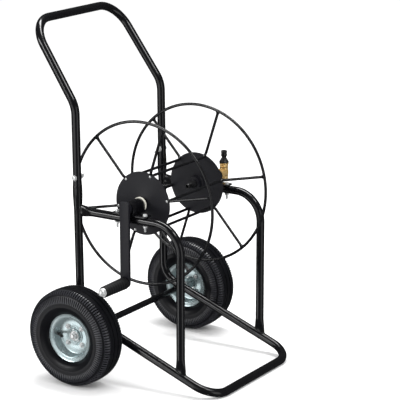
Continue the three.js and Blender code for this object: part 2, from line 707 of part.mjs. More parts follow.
function rod(index) {
  const angle = THREE.MathUtils.degToRad(ROD_START_ANGLE + (index * 360) / ROD_COUNT);
  const flats = REEL_RIM_RADIUS * Math.cos(Math.PI / RIM_FLATS);
  const end = flats - REEL_RIM_WIRE / 2 - GAP;
  const point = (s, radius) => at(s * REEL_HALF_LENGTH, radius * Math.cos(angle), radius * Math.sin(angle));
  const corners = [point(-1, end), point(-1, CORE_RADIUS), point(1, CORE_RADIUS), point(1, end)];
  return swept(new BentRoute(corners, [ROD_BEND, ROD_BEND], 4), ROD_R, 8);
}

SIDES.forEach(([side, s]) => {
  place(`reel_disc_${side}`, reelDisc(s), SATIN_BLACK, REEL_CENTRE_X, REEL_Y, REEL_Z);
  const rim = new THREE.TorusGeometry(REEL_RIM_RADIUS, REEL_RIM_WIRE / 2, 7, RIM_FLATS).rotateY(Math.PI / 2);
  place(`reel_rim_${side}`, rim, WIRE_BLACK, REEL_CENTRE_X + s * REEL_HALF_LENGTH, REEL_Y, REEL_Z);
});
for (let index = 0; index < ROD_COUNT; index += 1) {
  place(`reel_rod_${index + 1}`, rod(index), WIRE_BLACK, REEL_CENTRE_X, REEL_Y, REEL_Z);
}

// A spacer on the shaft fills the wider space beside the right-hand bearing.
const SPACER_FROM = REEL_CENTRE_X + DISC_OFFSET + DISC_SHEET / 2 + GAP;
const SPACER_TO = HOUSING_INNER_X - BUSH_FLANGE - GAP * 3;

place("shaft_spacer", cut(
  bar(at(SPACER_FROM, 0, 0), at(SPACER_TO, 0, 0), SHAFT_R + 4, 24),
  bar(at(SPACER_FROM - 1, 0, 0), at(SPACER_TO + 1, 0, 0), SHAFT_R + RUNNING, 24),
), SATIN_BLACK, 0, REEL_Y, REEL_Z);

// ---------------------------------------------------------------- crank
function crankArm() {
  const outer = -ARM_OUTER_X;
  const inner = outer + ARM_SHEET;
  const half = ARM_WIDTH / 2;
  const top = ARM_ABOVE_AXIS;
  const outline = new THREE.Shape();
  outline.moveTo(-half, top - ARM_CORNER);
  outline.lineTo(-half, -ARM_LENGTH);
  outline.absarc(0, -ARM_LENGTH, half, Math.PI, 2 * Math.PI, false);
  outline.lineTo(half, top - ARM_CORNER);
  outline.lineTo(half - ARM_CORNER, top);
  outline.lineTo(ARM_CORNER - half, top);
  const sheet = { depth: ARM_SHEET, bevelEnabled: false, curveSegments: 10 };
  const flat = new THREE.ExtrudeGeometry(outline, sheet);
  flat.rotateX(Math.PI / 2).rotateZ(Math.PI / 2).translate(outer, 0, 0);
  const sleeveEnd = -HOUSING_OUTER_X - GAP * 2;
  const sleeve = bar(at(inner - 1, 0, 0), at(sleeveEnd, 0, 0), SHAFT_R + RUNNING + SLEEVE_WALL, 24);
  const bore = bar(at(inner, 0, 0), at(sleeveEnd + 5, 0, 0), SHAFT_R + RUNNING, 24);
  const pinHole = bar(at(outer - 1, 0, -ARM_LENGTH), at(inner + 1, 0, -ARM_LENGTH), SPINDLE_D / 2 + GAP, 12);
  return cut(join(flat, sleeve), bore, pinHole);
}

const GRIP_INNER_X = -(ARM_OUTER_X + GAP * 2);
const GRIP_OUTER_X = GRIP_INNER_X - GRIP_LENGTH;

function grip() {
  const bore = SPINDLE_D / 2 + RUNNING;
  return turned([
    [GRIP_OUTER_X, bore],
    [GRIP_OUTER_X, GRIP_END_R - 2],
    [GRIP_OUTER_X + 2, GRIP_END_R],
    [GRIP_INNER_X - 3, GRIP_R],
    [GRIP_INNER_X, GRIP_R - 3],
    [GRIP_INNER_X, bore],
    [GRIP_OUTER_X, bore],
  ], 24);
}

function gripSpindle() {
  const headSeat = -(ARM_OUTER_X - ARM_SHEET - GAP);
  const shank = bar(at(headSeat + 1, 0, 0), at(GRIP_OUTER_X - 9, 0, 0), SPINDLE_D / 2, 12);
  return join(shank, bar(at(headSeat, 0, 0), at(headSeat + 5, 0, 0), 7.5, 6));
}

function gripCap() {
  const seat = GRIP_OUTER_X - GAP;
  const bore = SPINDLE_D / 2 + GAP;
  return turned([
    [seat, bore],
    [seat, 11],
    [seat - 4, 11],
    [seat - 8, 9.5],
    [seat - 12, 5.5],
    [seat - 13, 0],
    [seat - 10, 0],
    [seat - 10, bore],
    [seat, bore],
  ], 20);
}

const GRIP_Z = REEL_Z - ARM_LENGTH;
place("crank_arm", crankArm(), SATIN_BLACK, 0, REEL_Y, REEL_Z);
place("grip_spindle", gripSpindle(), STEEL, 0, REEL_Y, GRIP_Z);
place("grip_cap", gripCap(), STEEL, 0, REEL_Y, GRIP_Z);
place("crank_grip", grip(), GRIP_RUBBER, 0, REEL_Y, GRIP_Z);

// ---------------------------------------------------------------- water inlet
const SOCKET_R = SHAFT_R + RUNNING + SOCKET_WALL;
const POST_TOP = SOCKET_R + 1;
const COLLAR_TOP = POST_TOP + 12;

function inletElbow() {
  const socketFrom = HOUSING_OUTER_X + 8;
  const socket = bar(at(socketFrom, 0, 0), at(SWIVEL_X, 0, 0), SOCKET_R, 16);
  const post = bar(at(SWIVEL_X, 0, -POST_BELOW), at(SWIVEL_X, 0, POST_TOP), SWIVEL_R, 16);
  const socketBore = bar(at(socketFrom - 1, 0, 0), at(SHAFT_RIGHT + 1, 0, 0), SHAFT_R + RUNNING * 1.5, 18);
  const acrossBore = bar(at(SHAFT_RIGHT, 0, 0), at(SWIVEL_X, 0, 0), WATERWAY_R, 12);
  const upBore = bar(at(SWIVEL_X, 0, -WATERWAY_R), at(SWIVEL_X, 0, POST_TOP + 1), WATERWAY_R, 12);
  return cut(join(socket, post), socketBore, acrossBore, upBore);
}

const inletCollar = pipe([
  [SWIVEL_R, POST_TOP + GAP],
  [SWIVEL_COLLAR_R, POST_TOP + 2],
  [SWIVEL_COLLAR_R, COLLAR_TOP],
], WATERWAY_R);
const quickConnector = pipe([
  [SWIVEL_COLLAR_R, COLLAR_TOP + GAP],
  [SWIVEL_COLLAR_R, COLLAR_TOP + 3],
  [7, COLLAR_TOP + 13],
  [6.2, COLLAR_TOP + 17],
  [8.4, COLLAR_TOP + 19],
  [8.4, COLLAR_TOP + 32],
  [7.4, COLLAR_TOP + 34],
], WATERWAY_R - 0.5);

place("inlet_elbow", inletElbow(), BRASS, 0, REEL_Y, REEL_Z);
place("inlet_collar", inletCollar, BRASS, SWIVEL_X, REEL_Y, REEL_Z);
place("quick_connector", quickConnector, BLACK_PLASTIC, SWIVEL_X, REEL_Y, REEL_Z);

// ---------------------------------------------------------------- origin
// The origin goes to the middle of the footprint's box, on the floor.
const bounds = new THREE.Box3().setFromObject(cart, true);
const middle = bounds.getCenter(new THREE.Vector3());
cart.position.set(-middle.x, -middle.y, -bounds.min.z);
cart.updateMatrixWorld(true);

export default cart;
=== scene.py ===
# %% [markdown]
# # A garden hose reel cart
#
# The cart is a bent black tube frame on two air tyres. A wire-rimmed reel turns between two side
# loops, a crank winds it, and a brass swivel brings the water in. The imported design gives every
# place and every moving body. This lesson builds the surfaces that are seen: round tubes, ribbed
# tyres, stamped rims, bolts with threads, weld beads, and a finish for each of them.

# %% Load the design
import math

import bmesh
import bpy
from mathutils import Matrix, Vector


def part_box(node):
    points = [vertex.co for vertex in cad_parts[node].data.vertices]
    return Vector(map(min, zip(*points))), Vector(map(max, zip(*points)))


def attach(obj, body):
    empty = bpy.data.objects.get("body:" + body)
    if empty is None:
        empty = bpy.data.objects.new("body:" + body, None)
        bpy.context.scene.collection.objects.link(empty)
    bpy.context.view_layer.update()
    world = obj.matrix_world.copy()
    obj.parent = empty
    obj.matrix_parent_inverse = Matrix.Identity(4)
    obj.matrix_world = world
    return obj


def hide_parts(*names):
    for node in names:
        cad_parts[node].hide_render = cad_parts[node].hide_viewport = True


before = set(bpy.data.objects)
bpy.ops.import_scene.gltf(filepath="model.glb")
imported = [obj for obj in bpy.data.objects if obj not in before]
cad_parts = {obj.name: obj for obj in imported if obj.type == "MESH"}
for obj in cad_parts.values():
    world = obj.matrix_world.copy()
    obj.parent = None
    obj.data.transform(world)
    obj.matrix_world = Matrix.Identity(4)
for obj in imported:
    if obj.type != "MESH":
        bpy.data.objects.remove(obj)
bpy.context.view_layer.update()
SIDES = {"left": -1, "right": 1}

# %% [markdown]
# ## Places
#
# The axle's tube gives the cart's middle, so every length below is measured from there: X from
# the middle, Y from the axle and Z from the floor. The sizes are those of the design, in metres.


# %% Measure the design
def middle(node):
    low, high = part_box(node)
    return (low + high) / 2


ORIGIN = middle("axle_tube").xy.to_3d()


def from_origin(node):
    return middle(node) - ORIGIN


TUBE = 0.011  # radius of the frame's tube
GAP = 0.0003  # clearance between pieces that touch or are welded
HALF_WIDTH = from_origin("side_loop_right").x
AXLE_Z = from_origin("axle_tube").z
FRONT_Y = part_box("main_frame")[0].y - ORIGIN.y + TUBE
JOINT_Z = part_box("handle_bar")[0].z
BOLT = from_origin("handle_bolt_right")
LEAN = 0.011
AXLE_TUBE = 0.0086
RAIL_ANGLE = (math.atan2(AXLE_Z - TUBE, -FRONT_Y)
              + math.asin((TUBE + AXLE_TUBE + GAP) / math.hypot(AXLE_Z - TUBE, FRONT_Y)))
REEL = from_origin("reel_rim_left").yz
DISC_X = {side: from_origin(f"reel_disc_{side}").x for side in SIDES}
RIM_X = {side: from_origin(f"reel_rim_{side}").x for side in SIDES}
WHEEL_X = from_origin("tyre_right").x


def upright_y(z):
    return BOLT.y + LEAN * (z - BOLT.z)


def rail_z(y):
    return TUBE + (y - FRONT_Y) * math.tan(RAIL_ANGLE)


print("half width", round(HALF_WIDTH, 4), "reel axis", tuple(round(v, 4) for v in REEL))

# %% [markdown]
# ## Camera
#
# A long lens a few metres away keeps the wheels nearly the same size. It looks from the crank's
# side and a little from above.

# %% Camera
AZIMUTH, ELEVATION = math.radians(-57.08), math.radians(14.935)
CAMERA_DISTANCE = 4.6844
CAMERA_LENS = 160.37
CAMERA_TARGET = ORIGIN + Vector((0.0383, -0.1836, 0.45))

back = Vector((math.sin(AZIMUTH) * math.cos(ELEVATION),
               -math.cos(AZIMUTH) * math.cos(ELEVATION),
               math.sin(ELEVATION)))
camera = bpy.data.objects.new("camera", bpy.data.cameras.new("camera"))
camera.data.lens = CAMERA_LENS
camera.data.sensor_width = 36
camera.data.clip_end = 100
camera.location = CAMERA_TARGET + back * CAMERA_DISTANCE
camera.rotation_mode = "QUATERNION"
camera.rotation_quaternion = (-back).to_track_quat("-Z", "Y")
bpy.context.scene.collection.objects.link(camera)
bpy.context.scene.camera = camera
print("camera at", tuple(round(v, 3) for v in camera.location))

# %% [markdown]
# ## Variation shared by the finishes
#
# No real surface has one exact colour. One node group gives three masks: a fine grain for bump, a
# slow drift for colour and gloss, and dust that settles where a face looks up. Every finish takes
# what it needs from the group and keeps its own shader.


# %% A node group for grain, drift and dust
def make_variation_group():
    group = bpy.data.node_groups.new("grain drift dust", "ShaderNodeTree")
    for name, kind, way in [("Vector", "NodeSocketVector", "INPUT"),
                            ("Grain Scale", "NodeSocketFloat", "INPUT"),
                            ("Drift Scale", "NodeSocketFloat", "INPUT"),
                            ("Grain", "NodeSocketFloat", "OUTPUT"),
                            ("Drift", "NodeSocketFloat", "OUTPUT"),
                            ("Dust", "NodeSocketFloat", "OUTPUT")]:
        group.interface.new_socket(name=name, in_out=way, socket_type=kind)
    nodes, link = group.nodes, group.links.new
    source, result = nodes.new("NodeGroupInput"), nodes.new("NodeGroupOutput")
    for mask, scale, detail in [("Grain", "Grain Scale", 3), ("Drift", "Drift Scale", 4)]:
        noise = nodes.new("ShaderNodeTexNoise")
        noise.inputs["Detail"].default_value = detail
        link(source.outputs["Vector"], noise.inputs["Vector"])
        link(source.outputs[scale], noise.inputs["Scale"])
        link(noise.outputs["Fac"], result.inputs[mask])
    facing = nodes.new("ShaderNodeSeparateXYZ")
    upward = nodes.new("ShaderNodeMapRange")
    upward.inputs["From Min"].default_value = 0.2
    patchy = nodes.new("ShaderNodeMath")
    patchy.operation = "MULTIPLY"
    link(nodes.new("ShaderNodeNewGeometry").outputs["Normal"], facing.inputs["Vector"])
    link(facing.outputs["Z"], upward.inputs["Value"])
    link(upward.outputs["Result"], patchy.inputs[0])
    link(noise.outputs["Fac"], patchy.inputs[1])
    link(patchy.outputs["Value"], result.inputs["Dust"])
    return group


VARIATION = make_variation_group()
print("group", VARIATION.name, "has", len(VARIATION.nodes), "nodes")


# %% [markdown]
# ## Finishes
#
# All finishes share one recipe: two close colours mixed by the drift, a roughness that follows
# it, and a bump from the grain. A finish differs in its colours, its gloss and how coarse its
# grain is. Powder coat gets a clear coat over it, as its skin is smooth above a rippled film.


# %% The recipe of a finish
def finish(name, dark, light, roughness, grain_scale, bump, drift_scale=14.0, metallic=0.0,
           coat=0.0, dust=0.0, specular=0.5):
    material = bpy.data.materials.new(name)
    material.use_nodes = True
    nodes, link = material.node_tree.nodes, material.node_tree.links.new
    shader = nodes["Principled BSDF"]
    shader.inputs["Metallic"].default_value = metallic
    shader.inputs["Specular IOR Level"].default_value = specular
    shader.inputs["Coat Weight"].default_value = coat
    shader.inputs["Coat Roughness"].default_value = 0.08
    place = nodes.new("ShaderNodeTexCoord")
    masks = nodes.new("ShaderNodeGroup")
    masks.node_tree = VARIATION
    masks.inputs["Grain Scale"].default_value = grain_scale
    masks.inputs["Drift Scale"].default_value = drift_scale
    link(place.outputs["Object"], masks.inputs["Vector"])
    tint = nodes.new("ShaderNodeMix")
    tint.data_type = "RGBA"
    tint.inputs["A"].default_value = (*dark, 1)
    tint.inputs["B"].default_value = (*light, 1)
    link(masks.outputs["Drift"], tint.inputs["Factor"])
    dusty = nodes.new("ShaderNodeMix")
    dusty.data_type = "RGBA"
    dusty.inputs["B"].default_value = (0.33, 0.32, 0.3, 1)
    settled = nodes.new("ShaderNodeMath")
    settled.operation = "MULTIPLY"
    settled.inputs[1].default_value = dust
    link(masks.outputs["Dust"], settled.inputs[0])
    link(settled.outputs["Value"], dusty.inputs["Factor"])
    link(tint.outputs["Result"], dusty.inputs["A"])
    link(dusty.outputs["Result"], shader.inputs["Base Color"])
    gloss = nodes.new("ShaderNodeMapRange")
    gloss.inputs["To Min"].default_value = roughness[0]
    gloss.inputs["To Max"].default_value = roughness[1]
    link(masks.outputs["Drift"], gloss.inputs["Value"])
    link(gloss.outputs["Result"], shader.inputs["Roughness"])
    relief = nodes.new("ShaderNodeBump")
    relief.inputs["Strength"].default_value = bump
    relief.inputs["Distance"].default_value = 0.0004
    link(masks.outputs["Grain"], relief.inputs["Height"])
    link(relief.outputs["Normal"], shader.inputs["Normal"])
    return material


print("every finish reads", VARIATION.name)

# %% Paint, metal, rubber and plastic
GLOSS_PAINT = finish("gloss black paint finish", (0.0015, 0.0015, 0.002), (0.004, 0.004, 0.005),
                     (0.14, 0.24), 900, 0.04, coat=0.2, dust=0.006)
WIRE_PAINT = finish("black wire finish", (0.0015, 0.0015, 0.002), (0.006, 0.006, 0.007),
                    (0.18, 0.32), 1100, 0.06, drift_scale=30, coat=0.2, dust=0.008)
SATIN_PAINT = finish("satin black paint finish", (0.004, 0.004, 0.0062), (0.009, 0.009, 0.0135),
                     (0.38, 0.5), 1400, 0.12, drift_scale=9, dust=0.01, specular=0.36)
WELD_PAINT = finish("painted weld finish", (0.002, 0.002, 0.0025), (0.012, 0.012, 0.013),
                    (0.22, 0.4), 260, 0.5, drift_scale=90)
ZINC_RIM = finish("zinc rim finish", (0.27, 0.36, 0.38), (0.66, 0.75, 0.76),
                  (0.2, 0.34), 500, 0.06, drift_scale=20, metallic=0.75)
ZINC_BOLT = finish("zinc fastener finish", (0.5, 0.51, 0.52), (0.85, 0.86, 0.85),
                   (0.18, 0.36), 900, 0.15, drift_scale=70, metallic=0.65)
SHAFT_STEEL = finish("shaft steel finish", (0.25, 0.25, 0.26), (0.5, 0.5, 0.5),
                     (0.3, 0.5), 700, 0.2, drift_scale=40, metallic=1)
TYRE_RUBBER = finish("tyre rubber finish", (0.002, 0.0021, 0.003), (0.006, 0.0062, 0.008),
                     (0.28, 0.36), 1500, 0.2, drift_scale=18, specular=0.22)
# Paler rubber for the raised ribs and notch teeth: a painted highlight.
RIB_HIGHLIGHT_RUBBER = finish("painted rib highlight finish", (0.016, 0.0165, 0.02), (0.045, 0.046, 0.053),
                     (0.2, 0.3), 1500, 0.2, drift_scale=26)
GRIP_RUBBER = finish("grip rubber finish", (0.003, 0.003, 0.0035), (0.009, 0.009, 0.01),
                     (0.4, 0.55), 1800, 0.3, drift_scale=60)
BLACK_PLASTIC = finish("black plastic finish", (0.004, 0.004, 0.0045), (0.01, 0.01, 0.011),
                       (0.3, 0.45), 1300, 0.2, drift_scale=60)
NYLON = finish("white nylon finish", (0.6, 0.58, 0.5), (0.82, 0.8, 0.72),
               (0.35, 0.5), 800, 0.1, drift_scale=50)
BRASS = finish("brass finish", (0.62, 0.38, 0.12), (0.95, 0.7, 0.34),
               (0.16, 0.34), 600, 0.08, drift_scale=22, metallic=0.7)
FINISHES = {"gloss_black_paint": GLOSS_PAINT, "black_wire": WIRE_PAINT, "satin_black_paint": SATIN_PAINT,
            "zinc_rim": ZINC_RIM, "zinc_fastener": ZINC_BOLT, "shaft_steel": SHAFT_STEEL,
            "tyre_rubber": TYRE_RUBBER, "grip_rubber": GRIP_RUBBER, "black_plastic": BLACK_PLASTIC,
            "white_nylon": NYLON, "brass": BRASS}
SLOTS = {material.name: slot for slot, material in FINISHES.items()}
SLOTS[WELD_PAINT.name] = "gloss_black_paint"
print("finishes:", ", ".join(SLOTS))

# %% [markdown]
# ## Turning a mesh into a piece
#
# Each shape function below returns its own bmesh. A piece gathers one or more of them into one
# object at the origin, points the faces outwards and rides on its body.


# %% Gather shapes into a piece
def gather(shapes):
    whole = bmesh.new()
    for shape in shapes:
        bmesh.ops.remove_doubles(shape, verts=shape.verts, dist=1e-6)
        bmesh.ops.recalc_face_normals(shape, faces=shape.faces)
        part = bpy.data.meshes.new("part")
        shape.to_mesh(part)
        shape.free()
        whole.from_mesh(part)
        bpy.data.meshes.remove(part)
    return whole


def piece(name, body, material, shapes, stands_for=(), sharp=32):
    whole = gather(shapes)
    bmesh.ops.translate(whole, verts=whole.verts, vec=ORIGIN)
    mesh = bpy.data.meshes.new(name)
    whole.to_mesh(mesh)
    whole.free()
    mesh.shade_smooth()
    mesh.set_sharp_from_angle(angle=math.radians(sharp))
    mesh.materials.append(material)
    made = bpy.data.objects.new(name, mesh)
    bpy.context.scene.collection.objects.link(made)
    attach(made, body)
    if stands_for:
        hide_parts(*stands_for)
    print(name, len(mesh.polygons), "faces")
    return made


print("pieces are moved to", tuple(round(v, 4) for v in ORIGIN))

# %% [markdown]
# ## Turned shapes
#
# Hubs, rims, tyres, nuts and grips are all turned: a profile of distance and radius spun once
# round its axis. Real edges are never knife sharp, so a small bevel softens them.


# %% Spin a profile and soften its edges
def turn_to(direction, centre):
    turn = Vector((1, 0, 0)).rotation_difference(Vector(direction)).to_matrix().to_4x4()
    return Matrix.Translation(centre) @ turn


def soften(shape, width, segments=2, angle=30):
    sharp = [e for e in shape.edges if e.is_manifold and e.calc_face_angle(0) > math.radians(angle)]
    bmesh.ops.bevel(shape, geom=sharp, offset=width, affect="EDGES", segments=segments,
                    profile=0.5, material=-1, clamp_overlap=True)
    return shape


def turned(profile, centre, direction=(1, 0, 0), steps=48, soft=0.0):
    shape = bmesh.new()
    points = [shape.verts.new((distance, radius, 0)) for distance, radius in profile]
    edges = [shape.edges.new(pair) for pair in zip(points, points[1:])]
    bmesh.ops.spin(shape, geom=points + edges, cent=(0, 0, 0), axis=(1, 0, 0),
                   angle=2 * math.pi, steps=steps, use_merge=True)
    bmesh.ops.remove_doubles(shape, verts=shape.verts, dist=1e-6)
    if soft:
        soften(shape, soft)
    shape.transform(turn_to(direction, centre))
    return shape


print("a cone of", len(turned([(0, 0), (0, 1), (1, 0)], (0, 0, 0)).faces), "faces is turned")


# %% Rings, rods, hexagons and threads
def ring(inner, outer, length, centre, direction=(1, 0, 0), steps=40, soft=0.0004):
    half = length / 2
    profile = [(-half, inner), (-half, outer), (half, outer), (half, inner), (-half, inner)]
    return turned(profile, centre, direction, steps, soft)


def rod(radius, length, centre, direction=(1, 0, 0), steps=32, soft=0.0004):
    half = length / 2
    profile = [(-half, 0), (-half, radius), (half, radius), (half, 0)]
    return turned(profile, centre, direction, steps, soft)


def hexagon(radius, length, centre, direction=(1, 0, 0), soft=0.0005):
    shape = bmesh.new()
    bmesh.ops.create_cone(shape, cap_ends=True, segments=6, radius1=radius, radius2=radius,
                          depth=length, matrix=Matrix.Rotation(math.pi / 2, 4, "Y"))
    soften(shape, soft)
    shape.transform(turn_to(direction, centre))
    return shape


def thread(radius, length, start, direction, pitch=0.001):
    turns = max(2, round(length / pitch))
    profile = [(0, 0)]
    for index in range(turns):
        profile += [(index * pitch, radius * 0.86), ((index + 0.5) * pitch, radius)]
    profile += [(turns * pitch, radius * 0.8), (turns * pitch, 0)]
    return turned(profile, start, direction, 24)


print("a ring of", len(ring(0.01, 0.02, 0.01, (0, 0, 0)).faces), "faces is ready")

# %% [markdown]
# ## Bent tubes
#
# A tube bender holds the tube straight, then turns it round a former. The same two moves make it
# here: extrude a ring of edges along each straight leg, and spin the ring round each bend. Flat
# bars and wings are simpler, as one outline extruded once.


# %% Extrude and spin a ring of edges
def verts_of(geometry):
    return [g for g in geometry if isinstance(g, bmesh.types.BMVert)]


def slab(outline, move):
    shape = bmesh.new()
    face = shape.faces.new([shape.verts.new(point) for point in outline])
    raised = bmesh.ops.extrude_face_region(shape, geom=[face])["geom"]
    bmesh.ops.translate(shape, verts=verts_of(raised), vec=move)
    return shape


def pull(shape, edges, move):
    made = bmesh.ops.extrude_edge_only(shape, edges=edges)["geom"]
    points = verts_of(made)
    bmesh.ops.translate(shape, verts=points, vec=move)
    fresh = set(points)
    return [g for g in made if isinstance(g, bmesh.types.BMEdge) and fresh.issuperset(g.verts)]


def bent_tube(corners, bend_radii, radius, sides=28):
    legs = [(b - a).normalized() for a, b in zip(corners, corners[1:])]
    shape = bmesh.new()
    facing = legs[0].to_track_quat("Z", "Y").to_matrix().to_4x4()
    bmesh.ops.create_circle(shape, cap_ends=False, radius=radius, segments=sides,
                            matrix=Matrix.Translation(corners[0]) @ facing)
    edges, here = list(shape.edges), corners[0]
    for corner, into, out, bend in zip(corners[1:], legs, legs[1:], bend_radii):
        angle = into.angle(out, 0)
        start = corner - into * bend * math.tan(angle / 2)
        edges, here = pull(shape, edges, start - here), start
        if bend:
            inward = (out - into * into.dot(out)).normalized()
            spun = bmesh.ops.spin(shape, geom=edges, cent=start + inward * bend,
                                  axis=into.cross(inward), angle=angle,
                                  steps=max(6, round(math.degrees(angle) / 4)))
            edges = [g for g in spun["geom_last"] if isinstance(g, bmesh.types.BMEdge)]
            here = corner + out * bend * math.tan(angle / 2)
    pull(shape, edges, corners[-1] - here)
    bmesh.ops.holes_fill(shape, edges=[e for e in shape.edges if e.is_boundary], sides=0)
    return shape


print("a straight tube has", len(bent_tube([Vector(), Vector((0, 0, 1))], [], TUBE).faces), "faces")

# %% [markdown]
# ## Weld beads
#
# Where tubes meet, a welder leaves a rippled bead. A closed curve with a round section makes it,
# and a slow wave in its thickness gives the ripples.


# %% A bead along a closed path
def bead(points, thickness):
    line = bpy.data.curves.new("bead", "CURVE")
    line.dimensions = "3D"
    line.bevel_depth = thickness
    line.bevel_resolution = 3
    path = line.splines.new("POLY")
    path.points.add(len(points) - 1)
    path.use_cyclic_u = True
    for index, (spot, point) in enumerate(zip(path.points, points)):
        spot.co = (*point, 1)
        spot.radius = 1 + 0.2 * math.sin(index * 1.7) + 0.1 * math.sin(index * 0.7)
    holder = bpy.data.objects.new("bead", line)
    bpy.context.scene.collection.objects.link(holder)
    solid = bpy.data.meshes.new_from_object(holder.evaluated_get(bpy.context.evaluated_depsgraph_get()))
    shape = bmesh.new()
    shape.from_mesh(solid)
    bpy.data.objects.remove(holder)
    bpy.data.curves.remove(line)
    bpy.data.meshes.remove(solid)
    return shape


def loop_of(place, count=44):
    return [place(2 * math.pi * index / count) for index in range(count)]


print("a bead follows", len(loop_of(math.sin)), "points")

# %% [markdown]
# ## Main frame
#
# One long tube: down the left upright, forward along the sloping rail, across the floor and back
# up the right side. Its two tops are swaged down to a neck that slides into the handle.

# %% Main frame
REAR_BEND, FRONT_BEND = 0.060, 0.062
NECK = 0.00905
NECK_LENGTH = 0.055
SWAGE = 0.004
RING_STEP = 0.007  # between the rings of edges under the joint


def corner_of_rail():
    y = (upright_y(0) + LEAN * rail_z(0)) / (1 - LEAN * math.tan(RAIL_ANGLE))
    return y, rail_z(y)


def upright(side, z):
    return Vector((side * HALF_WIDTH, upright_y(z), z))


def smooth_step(share):
    share = min(1, max(0, share))
    return share * share * (3 - 2 * share)


SWELL, SWELL_Z, SWELL_REACH = 0.16, 0.489, 0.05


def swell_joint(shape):
    for vert in shape.verts:
        side = math.copysign(1, vert.co.x)
        centre = upright(side, vert.co.z)
        if vert.co.z > JOINT_Z - 0.08 and (vert.co - centre).length < 0.02:
            grow = SWELL * smooth_step(1 - abs(vert.co.z - SWELL_Z) / SWELL_REACH)
            vert.co += (vert.co - centre) * grow
    return shape


def main_frame_tube():
    rear_y, rear_z = corner_of_rail()
    heights = [JOINT_Z - GAP - RING_STEP * k for k in range(11)]
    half = [[upright(s, z) for z in heights]
            + [Vector((s * HALF_WIDTH, rear_y, rear_z)), Vector((s * HALF_WIDTH, FRONT_Y, TUBE))]
            for s in SIDES.values()]
    corners = half[0] + half[1][::-1]
    straight = [0] * (len(heights) - 1)
    bends = straight + [REAR_BEND, FRONT_BEND, FRONT_BEND, REAR_BEND] + straight
    return swell_joint(bent_tube(corners, bends, TUBE, 36))


def neck(side):
    foot = upright(side, JOINT_Z - GAP)
    up = Vector((0, LEAN, 1)).normalized()
    profile = [(-0.002, 0), (-0.002, TUBE * 0.98), (0, TUBE * 0.98), (SWAGE, NECK),
               (NECK_LENGTH, NECK), (NECK_LENGTH, 0)]
    return turned(profile, foot, up, 36, 0.0006)


piece("frame_tube", "frame", GLOSS_PAINT, [main_frame_tube(), neck(-1), neck(1)], ["main_frame"])

# %% [markdown]
# ## Handle
#
# The handle's legs stand on the uprights' shoulders, lean back above a knee bend, and close in a
# little towards the top bar, with a wide bend at each corner.

# %% Handle
KNEE_Z, KNEE_BEND = 0.716, 0.075
TOP_Y, TOP_Z, TOP_HALF, TOP_BEND = 0.1892, 0.9224, 0.184, 0.076
WALL, ROLLED, RIM_DEPTH = 0.0016, 0.0002, 0.003


def handle_tube():
    heights = [JOINT_Z + 0.005 * k for k in range(8)]
    half = [[upright(s, z) for z in heights]
            + [upright(s, KNEE_Z), Vector((s * TOP_HALF, TOP_Y, TOP_Z))] for s in SIDES.values()]
    corners = half[0] + half[1][::-1]
    straight = [0] * (len(heights) - 1)
    bends = straight + [KNEE_BEND, TOP_BEND, TOP_BEND, KNEE_BEND] + straight
    return swell_joint(bent_tube(corners, bends, TUBE, 36))


def handle_end(side):
    up = Vector((0, LEAN, 1)).normalized()
    rim = ring(TUBE - WALL, TUBE + ROLLED, RIM_DEPTH, upright(side, JOINT_Z + RIM_DEPTH / 2), up, 36,
               0.0008)
    return swell_joint(rim)


piece("handle_tube", "frame", GLOSS_PAINT, [handle_tube(), handle_end(-1), handle_end(1)],
      ["handle_bar"])

# %% [markdown]
# ## Side loops
#
# Each loop rises from the rail, bends back at the top and runs to the upright. Both ends are
# pressed flat, so the moulded sweep is squeezed across the cart and widened along the tube that
# it is welded to.

# %% Side loops
LOOP_Z, LOOP_Y, LOOP_BEND = 0.4433, -0.2759, 0.076
FLARE, FLARE_WIDE, FLARE_THIN = 0.042, 0.42, 0.5


def side_loop_tube(side):
    x = side * HALF_WIDTH
    foot_z = rail_z(LOOP_Y) + TUBE
    rear_y = upright_y(LOOP_Z) - TUBE
    shares = [index / 8 for index in range(9)]
    rises = [Vector((x, LOOP_Y, foot_z - 0.004 + FLARE * share)) for share in shares]
    runs = [Vector((x, rear_y + 0.002 - FLARE * share, LOOP_Z)) for share in reversed(shares)]
    corners = rises + [Vector((x, LOOP_Y, LOOP_Z))] + runs
    shape = bent_tube(corners, [0] * 8 + [LOOP_BEND] + [0] * 8, TUBE, 36)
    for vert in shape.verts:
        on_post = vert.co.z < LOOP_Z - LOOP_BEND
        flat = 1 - smooth_step((vert.co.z - foot_z if on_post else rear_y - vert.co.y) / FLARE)
        vert.co.x = x + (vert.co.x - x) * (1 - FLARE_THIN * flat)
        if on_post:
            vert.co.y = LOOP_Y + (vert.co.y - LOOP_Y) * (1 + FLARE_WIDE * flat)
        else:
            vert.co.z = LOOP_Z + (vert.co.z - LOOP_Z) * (1 + FLARE_WIDE * flat)
    return shape


print("the loops stand", LOOP_Z, "m high")


# %% Welds of the side loops
def foot_bead(side):
    thick, wide = TUBE * FLARE_THIN + 0.0006, TUBE * (1 + FLARE_WIDE)

    def spot(angle):
        across, along = thick * math.cos(angle), wide * math.sin(angle)
        drop = math.sqrt(TUBE ** 2 - across ** 2) / math.cos(RAIL_ANGLE)
        y = LOOP_Y + along
        return Vector((side * HALF_WIDTH + across, y, rail_z(y) + drop))
    return bead(loop_of(spot), 0.0015)


def rear_bead(side):
    thick, wide = TUBE * FLARE_THIN + 0.0006, TUBE * (1 + FLARE_WIDE)

    def spot(angle):
        across, z = thick * math.cos(angle), LOOP_Z + wide * math.sin(angle)
        return Vector((side * HALF_WIDTH + across, upright_y(z) - math.sqrt(TUBE ** 2 - across ** 2), z))
    return bead(loop_of(spot), 0.0015)


for name, side in SIDES.items():
    piece(f"loop_tube_{name}", "frame", GLOSS_PAINT, [side_loop_tube(side)], [f"side_loop_{name}"])
    piece(f"loop_welds_{name}", "frame", WELD_PAINT, [foot_bead(side), rear_bead(side)])
